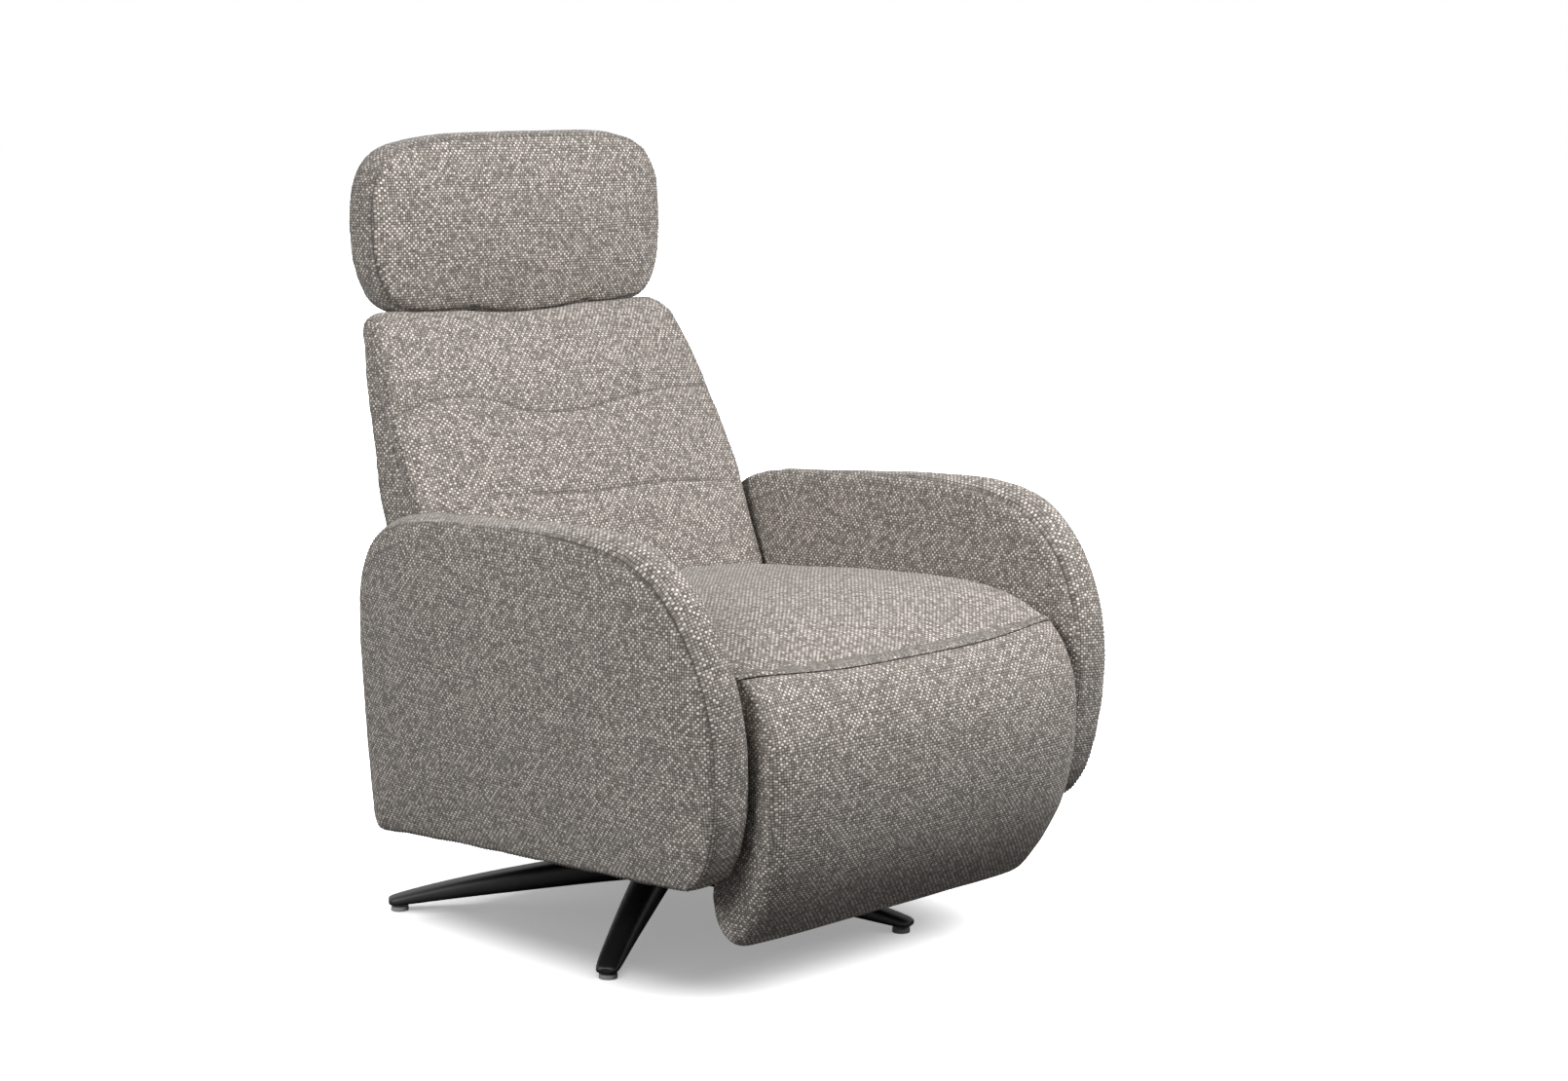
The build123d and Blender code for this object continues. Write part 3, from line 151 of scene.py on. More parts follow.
def makeHopsackGroup():
    # two threads over and under: pale floats on a diamond lattice, darker floats between them
    group, start, end = newGroup(
        "hopsackWeave",
        [("Vector", "NodeSocketVector", None), ("Pitch", "NodeSocketFloat", 0.0036),
         ("Wander", "NodeSocketFloat", 0.3)],
        [("Pale", "NodeSocketFloat"), ("Gap", "NodeSocketFloat"), ("Height", "NodeSocketFloat"),
         ("Shade", "NodeSocketFloat"), ("Slub", "NodeSocketFloat")],
    )
    cells = addNode(group, "ShaderNodeVectorMath", operation="DIVIDE")
    pitch = addNode(group, "ShaderNodeCombineXYZ")
    for axis in ("X", "Y", "Z"):
        group.links.new(start.outputs["Pitch"], pitch.inputs[axis])
    group.links.new(start.outputs["Vector"], cells.inputs[0])
    group.links.new(pitch.outputs[0], cells.inputs[1])
    moved = cells
    for scale, factor in weaveLook["drifts"]:
        drift = noiseNode(group, cells.outputs[0], scale, 1.0)
        centred = addNode(group, "ShaderNodeVectorMath", operation="SUBTRACT")
        centred.inputs[1].default_value = (0.5, 0.5, 0.5)
        group.links.new(drift.outputs["Color"], centred.inputs[0])
        scaled = addNode(group, "ShaderNodeVectorMath", operation="SCALE")
        group.links.new(centred.outputs[0], scaled.inputs[0])
        strength = mathNode(group, "MULTIPLY", start.outputs["Wander"], factor)
        group.links.new(strength, scaled.inputs["Scale"])
        shifted = addNode(group, "ShaderNodeVectorMath", operation="ADD")
        group.links.new(moved.outputs[0], shifted.inputs[0])
        group.links.new(scaled.outputs[0], shifted.inputs[1])
        moved = shifted
    parts = addNode(group, "ShaderNodeSeparateXYZ")
    group.links.new(moved.outputs[0], parts.inputs[0])
    sines = [mathNode(group, "SINE", mathNode(group, "MULTIPLY", parts.outputs[axis], pi))
             for axis in ("X", "Y")]
    product = mathNode(group, "MULTIPLY", *sines)
    # each float has its own lightness and length
    cell = addNode(group, "ShaderNodeVectorMath", operation="FLOOR")
    group.links.new(moved.outputs[0], cell.inputs[0])
    random = addNode(group, "ShaderNodeTexWhiteNoise", noise_dimensions="2D")
    group.links.new(cell.outputs[0], random.inputs["Vector"])
    chance = mathNode(group, "SUBTRACT", random.outputs["Value"], 0.5)
    flat = mathNode(group, "ADD", product, mathNode(group, "MULTIPLY", chance, weaveLook["uneven"]))
    pale = rampNode(group, flat, *weaveLook["pale"])
    size = mathNode(group, "ABSOLUTE", product)
    gap = mathNode(group, "SUBTRACT", 1.0, rampNode(group, size, *weaveLook["gap"]))
    over = mathNode(group, "POWER", size, weaveLook["round"])
    lift = mathNode(group, "MULTIPLY", pale, weaveLook["lift"])
    height = mathNode(group, "ADD", mathNode(group, "MULTIPLY", over, weaveLook["bulge"]), lift)
    # slubs: a yarn's own lightness along a row and along a column
    slubs = []
    for scale, shift in (((weaveLook["stretch"], 1.0, 1.0), (0.0, 0.0, 0.0)),
                         ((1.0, weaveLook["stretch"], 1.0), weaveLook["columnShift"])):
        stretched = addNode(group, "ShaderNodeMapping")
        stretched.inputs["Scale"].default_value = scale
        stretched.inputs["Location"].default_value = shift
        group.links.new(cell.outputs[0], stretched.inputs["Vector"])
        slubs.append(noiseNode(group, stretched.outputs[0], weaveLook["slubScale"], 1.0).outputs["Fac"])
    slub = mathNode(group, "MULTIPLY", mathNode(group, "ADD", *slubs), 0.5)
    for label, value in (("Pale", pale), ("Gap", gap), ("Height", height),
                         ("Shade", random.outputs["Value"]), ("Slub", slub)):
        group.links.new(value, end.inputs[label])
    return group


def makeWearGroup():
    # mottling and fine scratches for painted and bare metal
    group, start, end = newGroup(
        "metalSurface",
        [("Vector", "NodeSocketVector", None), ("Scale", "NodeSocketFloat", 120.0)],
        [("Mottle", "NodeSocketFloat"), ("Grain", "NodeSocketFloat")],
    )
    broad = noiseNode(group, start.outputs["Vector"], 14.0, 4.0)
    fine = noiseNode(group, start.outputs["Vector"], 120.0, 3.0)
    group.links.new(start.outputs["Scale"], fine.inputs["Scale"])
    group.links.new(broad.outputs["Fac"], end.inputs["Mottle"])
    group.links.new(fine.outputs["Fac"], end.inputs["Grain"])
    return group


hopsack = makeHopsackGroup()
metalSurface = makeWearGroup()

fabricLook = {
    "pitch": 0.0036,
    "wander": 0.3,
    "pale": (0.68, 0.62, 0.565),
    "middle": (0.285, 0.255, 0.231),
    "dark": (0.095, 0.085, 0.077),
    "gapShade": 0.85,
    # how dark the painted shade in the seam grooves is
    "seamPaintedShade": 0.75,
    "fleck": 0.8,
    "yarn": 0.5,
    "bump": 0.0009,
}


def makeFabric(name):
    material, tree, shader = makeMaterial(name)
    coordinates = addNode(tree, "ShaderNodeUVMap", uv_map="weave")
    weave = placeGroup(tree, hopsack, Vector=coordinates.outputs[0], Pitch=fabricLook["pitch"],
                       Wander=fabricLook["wander"])
    colour = mixColour(tree, weave.outputs["Pale"], fabricLook["middle"], fabricLook["pale"])
    tones = [mathNode(tree, "MULTIPLY_ADD", weave.outputs[label], fabricLook[key], 1 - fabricLook[key] / 2)
             for label, key in (("Shade", "fleck"), ("Slub", "yarn"))]
    toned = mixColour(tree, 1.0, colour, mathNode(tree, "MULTIPLY", *tones), "MULTIPLY")
    gap = mathNode(tree, "MULTIPLY", weave.outputs["Gap"], fabricLook["gapShade"])
    gapped = mixColour(tree, gap, toned, fabricLook["dark"])
    # painted shade in the seam grooves: the seam mask mixes the fabric towards the dark colour
    seam = addNode(tree, "ShaderNodeAttribute", attribute_name="seam")
    shade = mathNode(tree, "MULTIPLY", seam.outputs["Fac"], fabricLook["seamPaintedShade"])
    tree.links.new(mixColour(tree, shade, gapped, fabricLook["dark"]), shader.inputs["Base Color"])
    shader.inputs["Roughness"].default_value = 0.92
    shader.inputs["Specular IOR Level"].default_value = 0.25
    shader.inputs["Sheen Weight"].default_value = 0.15
    shader.inputs["Sheen Roughness"].default_value = 0.5
    fuzz = noiseNode(tree, coordinates.outputs[0], 1500.0, 2.0)
    height = mathNode(tree, "MULTIPLY_ADD", fuzz.outputs["Fac"], 0.25, weave.outputs["Height"])
    addBump(tree, shader, height, 0.9, fabricLook["bump"])
    return material


def makeMetal(name, colour, metallic, roughness, grainScale, bumpDepth):
    material, tree, shader = makeMaterial(name)
    coordinates = addNode(tree, "ShaderNodeTexCoord")
    surface = placeGroup(tree, metalSurface, Vector=coordinates.outputs["Object"], Scale=grainScale)
    lighter = tuple(min(1.0, c * 1.5 + 0.004) for c in colour)
    mottled = mixColour(tree, rampNode(tree, surface.outputs["Mottle"], 0.35, 0.75), colour, lighter)
    tree.links.new(mottled, shader.inputs["Base Color"])
    shader.inputs["Metallic"].default_value = metallic
    rough = mathNode(tree, "MULTIPLY_ADD", surface.outputs["Grain"], 0.2, roughness - 0.1)
    tree.links.new(rough, shader.inputs["Roughness"])
    addBump(tree, shader, surface.outputs["Grain"], 0.5, bumpDepth)
    return material


def makePlywood(name):
    material, tree, shader = makeMaterial(name)
    coordinates = addNode(tree, "ShaderNodeTexCoord")
    stretch = addNode(tree, "ShaderNodeMapping")
    stretch.inputs["Scale"].default_value = (1.0, 0.08, 1.0)
    tree.links.new(coordinates.outputs["Object"], stretch.inputs["Vector"])
    rings = noiseNode(tree, stretch.outputs[0], 55.0, 5.0, 0.6)
    pores = noiseNode(tree, stretch.outputs[0], 420.0, 2.0)
    grain = mathNode(tree, "MULTIPLY_ADD", pores.outputs["Fac"], 0.35, rings.outputs["Fac"])
    colour = mixColour(tree, rampNode(tree, grain, 0.45, 0.95), (0.42, 0.27, 0.14), (0.66, 0.49, 0.30))
    tree.links.new(colour, shader.inputs["Base Color"])
    shader.inputs["Roughness"].default_value = 0.7
    addBump(tree, shader, grain, 0.3, 0.0004)
    return material


def makeCloth(name, colour, scale, roughness=0.9):
    # flat black cloths: straps and the lining under the seat
    material, tree, shader = makeMaterial(name)
    coordinates = addNode(tree, "ShaderNodeTexCoord")
    waves = addNode(tree, "ShaderNodeTexWave", wave_type="BANDS", bands_direction="X")
    waves.inputs["Scale"].default_value = scale
    waves.inputs["Distortion"].default_value = 1.5
    tree.links.new(coordinates.outputs["Object"], waves.inputs["Vector"])
    speck = noiseNode(tree, coordinates.outputs["Object"], 900.0, 2.0)
    mix = mathNode(tree, "MULTIPLY_ADD", speck.outputs["Fac"], 0.6, waves.outputs["Fac"])
    lighter = tuple(c * 2.2 + 0.01 for c in colour)
    mixed = mixColour(tree, rampNode(tree, mix, 0.4, 1.4), colour, lighter)
    tree.links.new(mixed, shader.inputs["Base Color"])
    shader.inputs["Roughness"].default_value = roughness
    addBump(tree, shader, mix, 0.5, 0.0004)
    return material


greigeWeave = makeFabric("greigeWeave")
threadFinish = makeMetal("seamThread", (0.21, 0.19, 0.172), 0.0, 0.8, 900.0, 0.0003)
blackCoat = makeMetal("blackCoat", (0.008, 0.008, 0.0085), 0.0, 0.48, 420.0, 0.0002)
frameSteel = makeMetal("frameSteel", (0.02, 0.02, 0.021), 0.3, 0.5, 300.0, 0.0002)
zincSteel = makeMetal("zincSteel", (0.52, 0.52, 0.50), 0.95, 0.38, 240.0, 0.0001)
brightSteel = makeMetal("brightSteel", (0.68, 0.68, 0.68), 1.0, 0.2, 240.0, 0.00005)
glideGrey = makeMetal("glideGrey", (0.33, 0.33, 0.32), 0.0, 0.6, 500.0, 0.0002)
cagePlastic = makeMetal("cagePlastic", (0.62, 0.6, 0.52), 0.0, 0.5, 400.0, 0.0001)
cablePlastic = makeMetal("cablePlastic", (0.015, 0.015, 0.015), 0.0, 0.45, 400.0, 0.0001)
plywood = makePlywood("plywood")
strapCloth = makeCloth("strapCloth", (0.018, 0.018, 0.018), 220.0)
liningCloth = makeCloth("liningCloth", (0.012, 0.012, 0.012), 120.0, 0.95)

finishes = {
    "cast_black": blackCoat, "glide_grey": glideGrey, "black_steel": frameSteel, "zinc_steel": zincSteel,
    "bright_steel": brightSteel, "cage_plastic": cagePlastic, "cable_plastic": cablePlastic,
    "plywood": plywood, "webbing": strapCloth, "lining": liningCloth, "greige_weave": greigeWeave,
}
slotOf = {entry["node"]: entry["material_slot"] for entry in frame["record"]["subparts"]}
for node, cadObject in frame["nodes"].items():
    finish = finishes[slotOf[node]]
    if not cadObject.material_slots:
        cadObject.data.materials.append(finish)
    for materialSlot in cadObject.material_slots:
        materialSlot.material = finish
print("materials ready")


def trace(points, count):
    # evenly spaced points on a smooth curve; its last point is left to the next stretch
    padded = [2 * points[0] - points[1], *points, 2 * points[-1] - points[-2]]
    fine = []
    for k in range(1, len(padded) - 2):
        a, b, c, d = padded[k - 1:k + 3]
        for step in range(12):
            t = step / 12
            fine.append(0.5 * (2 * b + (c - a) * t + (2 * a - 5 * b + 4 * c - d) * t * t
                               + (3 * b - a - 3 * c + d) * t ** 3))
    fine.append(points[-1])
    lengths = [0.0]
    for k in range(1, len(fine)):
        lengths.append(lengths[-1] + (fine[k] - fine[k - 1]).length)
    result = []
    for k in range(count):
        target = lengths[-1] * k / count
        i = max(1, bisect_left(lengths, target))
        span = lengths[i] - lengths[i - 1] or 1.0
        result.append(fine[i - 1].lerp(fine[i], (target - lengths[i - 1]) / span))
    return result


def loopOf(*stretches):
    ring = []
    for points, count in stretches:
        ring += trace([Vector(p) for p in points], count)
    return ring


def closed(ring):
    return ring + [ring[0]]


def shrunk(point, middle, share):
    return middle + Vector(((point.x - middle.x) * share.x, (point.y - middle.y) * share.y))


def addRings(mesh, rings):
    # rings of equal length, each bridged to the next; returns the edges of every ring
    hoops = []
    for ring in rings:
        corners = [mesh.verts.new(point * mm) for point in ring]
        hoops.append([mesh.edges.new((corners[k - 1], corners[k])) for k in range(len(corners))])
    for low, high in zip(hoops, hoops[1:]):
        bmesh.ops.bridge_loops(mesh, edges=low + high)
    return hoops


def closeHoop(mesh, hoop, rail):
    # a grid of squares between the ring's two long sides, or one flat face where no rail is given
    if rail:
        side = len(hoop) // 2 - rail
        opposite = side + rail + 1
        rails = hoop[1:side + 1] + hoop[opposite:opposite + side]
        bmesh.ops.grid_fill(mesh, edges=rails, use_interp_simple=True)
    else:
        bmesh.ops.edgeloop_fill(mesh, edges=hoop)


def makeObject(name, mesh):
    bmesh.ops.recalc_face_normals(mesh, faces=mesh.faces)
    data = bpy.data.meshes.new(name)
    mesh.to_mesh(data)
    mesh.free()
    piece = bpy.data.objects.new(name, data)
    scene.collection.objects.link(piece)
    return piece


def padFromRings(name, rings, rail=0):
    mesh = bmesh.new()
    hoops = addRings(mesh, rings)
    for hoop in (hoops[0], hoops[-1]):
        closeHoop(mesh, hoop, rail)
    return makeObject(name, mesh)


def applyModifiers(pad):
    bpy.context.view_layer.update()
    evaluated = pad.evaluated_get(bpy.context.evaluated_depsgraph_get())
    data = bpy.data.meshes.new_from_object(evaluated)
    old = pad.data
    pad.modifiers.clear()
    pad.data = data
    data.name = pad.name
    bpy.data.meshes.remove(old)


def remesh(pad, voxel, smoothing):
    modifier = pad.modifiers.new("fill", "REMESH")
    modifier.mode = "VOXEL"
    modifier.voxel_size = voxel
    applyModifiers(pad)
    mesh = bmesh.new()
    mesh.from_mesh(pad.data)
    for _ in range(smoothing):
        bmesh.ops.smooth_vert(mesh, verts=mesh.verts, factor=0.5, use_axis_x=True, use_axis_y=True,
                              use_axis_z=True)
    mesh.to_mesh(pad.data)
    mesh.free()


def lineTree(lines, step=2.0):
    points = []
    for line in lines:
        for a, b in zip(line, line[1:]):
            parts = max(1, int((b - a).length / step))
            points += [a.lerp(b, k / parts) * mm for k in range(parts)]
        points.append(line[-1] * mm)
    tree = kdtree.KDTree(len(points))
    for k, point in enumerate(points):
        tree.insert(point, k)
    tree.balance()
    return tree


def swell(pad, seams, pressure, cap, hold):
    # the filling pushes the cover out between its seams
    rest = [v.co.copy() for v in pad.data.vertices]
    group = pad.vertex_groups.new(name="sewn")
    for v in pad.data.vertices:
        distance = seams.find(v.co)[2]
        weight = 1.0 if distance < hold else max(0.0, 1.0 - (distance - hold) / (2 * hold))
        if weight > 0:
            group.add([v.index], weight, "REPLACE")
    cloth = pad.modifiers.new("cover", "CLOTH")
    cloth.settings.quality = 6
    cloth.settings.mass = 0.35
    cloth.settings.tension_stiffness = 25
    cloth.settings.compression_stiffness = 25
    cloth.settings.bending_stiffness = 2.0
    cloth.settings.use_pressure = True
    cloth.settings.uniform_pressure_force = pressure
    cloth.settings.effector_weights.gravity = 0.0
    cloth.settings.vertex_group_mass = "sewn"
    cloth.collision_settings.use_collision = False
    cloth.point_cache.frame_start = 1
    cloth.point_cache.frame_end = 20
    for step in range(1, 21):
        scene.frame_set(step)
    applyModifiers(pad)
    for v in pad.data.vertices:
        move = v.co - rest[v.index]
        if move.length > cap:
            move *= cap / move.length
        v.co = rest[v.index] + move
    pad.vertex_groups.clear()
    scene.frame_set(1)


def subdivide(pad, levels):
    modifier = pad.modifiers.new("finer", "SUBSURF")
    modifier.levels = levels
    modifier.render_levels = levels
    applyModifiers(pad)


def sewSeams(pad, seams, depth, width, pucker=0.0, reach=0.03, shade=1.0):
    # a groove along the seams, small gathers beside it, and a mask of painted shade that darkens the fabric
    # along the groove
    attribute = pad.data.attributes.get("seam") or pad.data.attributes.new("seam", "FLOAT", "POINT")
    normals = [v.normal.copy() for v in pad.data.vertices]
    for v in pad.data.vertices:
        distance = seams.find(v.co)[2]
        groove = exp(-((distance / width) ** 2))
        move = -depth * groove
        if pucker and distance < 3 * reach:
            near = exp(-distance / reach) * min(1.0, distance / 0.006)
            move += pucker * near * (noise.noise(v.co * 38.0) + 0.5 * noise.noise(v.co * 90.0))
        v.co += normals[v.index] * move
        # painted shade: the mask is strongest in the groove's middle, where its shade falls
        if shade:
            old = attribute.data[v.index].value
            attribute.data[v.index].value = max(old, shade * exp(-((distance / (0.75 * width)) ** 2)))


def pinch(pad, seams, reach, share):
    # draws the rounded edge back out to its seam
    for v in pad.data.vertices:
        place, _, distance = seams.find(v.co)
        if distance < reach:
            v.co = v.co.lerp(place, share * (1 - distance / reach) ** 1.5)


def settle(pad, amount, scale, seed, seams=None):
    # slow unevenness of foam under a cover, none at its seams
    offset = Vector((seed, seed * 0.7, seed * 1.3))
    normals = [v.normal.copy() for v in pad.data.vertices]
    for v in pad.data.vertices:
        share = min(1.0, seams.find(v.co)[2] / 0.03) if seams else 1.0
        v.co += normals[v.index] * (share * amount * noise.noise(v.co * scale + offset))


def fillOut(pad, look, holds, seed, calm=None):
    # the cover's simulation, the foam's unevenness away from the calm lines, then one finer step
    swell(pad, holds, look["pressure"], look["cap"], look["hold"])
    settle(pad, look["uneven"], look["coarseness"], seed, calm)
    subdivide(pad, 1)


def layWeave(pad, path, toPlane, low, high):
    # the cover's cuts: a band along the path between the seams, and a flat panel beyond each seam
    lengths = [0.0]
    loop = closed(path)
    for a, b in zip(loop, loop[1:]):
        lengths.append(lengths[-1] + (b - a).length)
    tree = kdtree.KDTree(len(path))
    for k, point in enumerate(path):
        tree.insert((*point, 0.0), k)
    tree.balance()
    places = []
    for v in pad.data.vertices:
        a, b, w = toPlane(v.co / mm)
        _, k, _ = tree.find((a, b, 0.0))
        ahead = path[(k + 1) % len(path)] - path[k - 1]
        along = lengths[k] + (Vector((a, b)) - path[k]).dot(ahead.normalized())
        places.append((a, b, w, along))
    total = lengths[-1]
    layer = pad.data.uv_layers.new(name="weave")
    for polygon in pad.data.polygons:
        corners = [places[i] for i in polygon.vertices]
        middle = sum(c[2] for c in corners) / len(corners)
        isBand = low < middle < high
        first = corners[0][3]
        for corner, (a, b, w, along) in zip(polygon.loop_indices, corners):
            if isBand:
                if along - first > total / 2:
                    along -= total
                elif first - along > total / 2:
                    along += total
                layer.data[corner].uv = (w * mm, along * mm)
            else:
                layer.data[corner].uv = (a * mm, b * mm)
        polygon.use_smooth = True


def finishPad(pad, body, nodes):
    pad.data.materials.clear()
    pad.data.materials.append(greigeWeave)
    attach(pad, body)
    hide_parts(*nodes)
    print("pad", pad.name, len(pad.data.polygons), "faces")


def stitches(name, line, pad, body, look):
    # a row of single stitches, laid on the pad's surface
    surface = BVHTree.FromObject(pad, bpy.context.evaluated_depsgraph_get())
    single = bmesh.new()
    bmesh.ops.create_uvsphere(single, u_segments=6, v_segments=4, radius=mm)
    for face in single.faces:
        face.smooth = True
    template = bpy.data.meshes.new("stitch")
    single.to_mesh(template)
    single.free()
    length = sum((b - a).length for a, b in zip(line, line[1:]))
    points = trace(line, max(2, int(length / look["pitch"])))
    size = Matrix.Diagonal((look["length"] / 2, look["width"] / 2, look["height"], 1.0))
    mesh = bmesh.new()
    for before, after in zip(points, points[1:]):
        place, normal, _, _ = surface.find_nearest(before.lerp(after, 0.5) * mm)
        along = (after - before).normalized()
        side = normal.cross(along).normalized()
        turn = Matrix((side.cross(normal), side, normal)).transposed().to_4x4()
        count = len(mesh.verts)
        mesh.from_mesh(template)
        mesh.verts.ensure_lookup_table()
        bmesh.ops.transform(mesh, verts=mesh.verts[count:],
                            matrix=Matrix.Translation(place + normal * look["rise"] * mm) @ turn @ size)
    bpy.data.meshes.remove(template)
    row = makeObject(name, mesh)
    row.data.materials.append(threadFinish)
    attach(row, body)


arm = {
    "innerX": 325.0, "zeroZ": 500.0, "lean": radians(4.3), "band": 60.0,
    "voxel": 0.007, "pressure": 3.0, "cap": 0.006, "hold": 0.007, "uneven": 0.0016, "coarseness": 9.0,
}
armNormal = Vector((cos(arm["lean"]), 0, -sin(arm["lean"])))
armUp = Vector((sin(arm["lean"]), 0, cos(arm["lean"])))


def armLoop(rearCorner):
    return loopOf(
        ([(208, 138), (211.5, 152), (215, 215), (215, 302), *rearCorner, (-90, 606), (-210, 609),
          (-320, 600), (-401, 577), (-462, 529), (-502, 456), (-519, 380), (-516, 300), (-501, 235),
          (-481, 199), (-464, 183)], 150),
        ([(-464, 183), (-454, 177.5), (-442, 176)], 4),
        ([(-442, 176), (-200, 161), (100, 141.5), (198, 131.5)], 44),
        ([(198, 131.5), (206, 133), (208, 138)], 3),
    )


# the outer seam rounds the rear corner more than the inner one does
armOutline = armLoop([(210, 423), (195, 507), (151, 565), (91, 588), (27, 598)])
armInner = armLoop([(213, 430), (208, 520), (183, 571), (110, 593), (27, 600)])
armCrown = ((-560, 8), (-519, 12), (-502, 15), (-462, 20), (-400, 25), (-320, 19), (-210, 7), (-90, 1),
            (27, 0), (146, 3), (230, 2))
armRings = (
    (-17.5, 190), (-17, 140), (-16, 95), (-14, 58), (-10.5, 32), (-6, 13), (-2, 3), (0, 0),
    (4, -0.5), (12, -0.5), (22, -0.5), (30, -0.5), (38, -0.5), (48, -0.5), (56, -0.5),
    (60, 0), (62, 3), (66, 13), (70.5, 32), (74, 58), (76, 95), (77, 140), (77.5, 190),
)
outlineYs = [p.x for p in armOutline]
outlineZs = [p.y for p in armOutline]
armMiddle = Vector(((min(outlineYs) + max(outlineYs)) / 2, (min(outlineZs) + max(outlineZs)) / 2))
armHalf = Vector(((max(outlineYs) - min(outlineYs)) / 2, (max(outlineZs) - min(outlineZs)) / 2))


def armPoint(point, across, side=1):
    place = Vector((arm["innerX"], 0, arm["zeroZ"])) + armNormal * across + armUp * (point.y - arm["zeroZ"])
    return Vector((side * place.x, point.x, place.z))


def crownAt(point):
    # how far the band stands out between its seams: most on top, near the front
    if point.y < 330:
        return 2.0
    for (a, ca), (b, cb) in zip(armCrown, armCrown[1:]):
        if point.x <= b:
            crown = ca + (cb - ca) * max(0.0, (point.x - a) / (b - a))
            return 2.0 + (crown - 2.0) * min(1.0, (point.y - 330) / 120)
    return 2.0


def armRing(across, inset, side):
    # small insets follow the outline's own normal, large ones shrink towards the middle
    ring = []
    count = len(armOutline)
    share = min(1.0, max(0.0, across / arm["band"]))
    bow = 4 * share * (1 - share)
    outline = [inner.lerp(outer, share) for inner, outer in zip(armInner, armOutline)]
    for k, point in enumerate(outline):
        if inset > 40:
            share = Vector((1 - inset / armHalf.x, 1 - inset / armHalf.y))
            start = shrunk(point, armMiddle, share)
        else:
            tangent = (outline[(k + 2) % count] - outline[k - 2]).normalized()
            inward = Vector((-tangent.y, tangent.x))
            start = point + inward * (inset - bow * crownAt(point))
        ring.append(armPoint(start, across, side))
    return ring


def makeArm(name, side, node):
    pad = padFromRings(name, [armRing(w, inset, side) for w, inset in armRings])
    remesh(pad, arm["voxel"], 3)
    seams = lineTree([closed(armRing(across, 0.5, side)) for across in (0, arm["band"])])
    fillOut(pad, arm, seams, 3.0 + side)
    pinch(pad, seams, 0.008, 0.8)
    sewSeams(pad, seams, 0.0016, 0.0026, pucker=0.0011, reach=0.018)

    def toPlane(place):
        fromSeam = Vector((side * place.x, place.y, place.z)) - Vector((arm["innerX"], 0, arm["zeroZ"]))
        return place.y, arm["zeroZ"] + fromSeam.dot(armUp), fromSeam.dot(armNormal)

    layWeave(pad, armOutline, toPlane, 0.0, arm["band"])
    finishPad(pad, "chassis", [node])
    return pad


leftArm = makeArm("armLeft", 1, "arm_pad_left")
rightArm = makeArm("armRight", -1, "arm_pad_right")


def mirrored(stations):
    return [(-place, *rest) for place, *rest in reversed(stations) if place > 0] + list(stations)


def sections(stations, count):
    # stations between the ones given, so that the rings lie evenly across the width
    line = [Vector(station) for station in mirrored(stations)]
    return trace(line, count) + [line[-1]]


fold = {
    "pivot": Vector((-490.0, 420.0)), "radius": 20.9, "half": 290.0,
    "sideAngle": 74.0, "middleAngle": 147.0,
}


def onFold(radius, angle):
    return fold["pivot"] + Vector((cos(radians(angle)), sin(radians(angle)))) * radius


def foldShare(x):
    return max(0.0, 1 - (abs(x) / fold["half"]) ** 3.4)


def foldAngle(x):
    # where the seat's front seam lies round the footrest's axle: lower in the middle than at the sides
    return fold["sideAngle"] + (fold["middleAngle"] - fold["sideAngle"]) * foldShare(x)


seat = {"pressure": 3.0, "cap": 0.006, "hold": 0.009, "uneven": 0.0022, "coarseness": 8.0}


def seatOutline(x, crown, inset):
    top = [(86, 444), (66, 452), (-45, 461), (-147, 470), (-246, 476), (-341, 477.5), (-395, 473),
           (-435, 464)]
    lift = [0.85, 0.9, 1, 1, 1, 0.95, 0.8, 0.55]
    raised = [Vector((y, z + crown * k - inset)) for (y, z), k in zip(top, lift)]
    share = foldShare(x)
    seam = onFold(fold["radius"] + 0.4, foldAngle(x))
    nose = [Vector((-466 - 2 * share, 451.5 + 6 * share - inset)),
            Vector((-478 - 13 * share, 445 + 2.5 * share)), seam + Vector((1.6, 2.4 - 0.2 * share))]
    under = [onFold(fold["radius"] + 1.4, angle) for angle in (60, 30, 0, -30)]
    return loopOf(
        (raised + nose + [seam], 66),
        ([seam, onFold(fold["radius"] + 1.2, (foldAngle(x) + 60) / 2), *under], 9),
        ([under[-1], Vector((-440, 386)), Vector((-405, 372))], 8),
        ([Vector((-405, 372)), Vector((-160, 370)), Vector((84 - inset, 370))], 44),
        ([Vector((84 - inset, 370)), Vector((86 - inset, 405)), raised[0]], 9),
    )


def seatRing(x, crown, inset):
    return [Vector((x, p.x, p.y)) for p in seatOutline(x, crown, inset)]


seatStations = (
    (0, 14, 0), (60, 13.9, 0), (120, 13.3, 0), (180, 11.8, 0), (225, 9.6, 0), (255, 7, 0), (274, 4.4, 0),
    (286, 2, 0.8), (292, 0.5, 2.5), (295.5, 0, 6), (296.5, 0, 11),
)
seatRings = [seatRing(*station) for station in sections(seatStations, 62)]
seatPad = padFromRings("seatCushion", seatRings, 8)
frontSeam = [ring[66] for ring in seatRings]
seatSides = [[Vector((side * 291.0, p.x, p.y)) for p in seatOutline(fold["half"], 0, 3)[:66]]
             for side in (-1, 1)]
seatSeams = lineTree([frontSeam, *seatSides])
fillOut(seatPad, seat, seatSeams, 11.0, seatSeams)
sewSeams(seatPad, seatSeams, 0.0, 0.0035, pucker=0.0009, reach=0.02, shade=0.3)
layWeave(seatPad, seatOutline(0, 10, 0), lambda p: (p.y, p.z, p.x), -292.0, 292.0)
finishPad(seatPad, "chassis", ["seat_cushion"])


footrest = {
    "taper": 0.045, "pressure": 1.5, "cap": 0.003, "hold": 0.009, "uneven": 0.002, "coarseness": 8.0,
}


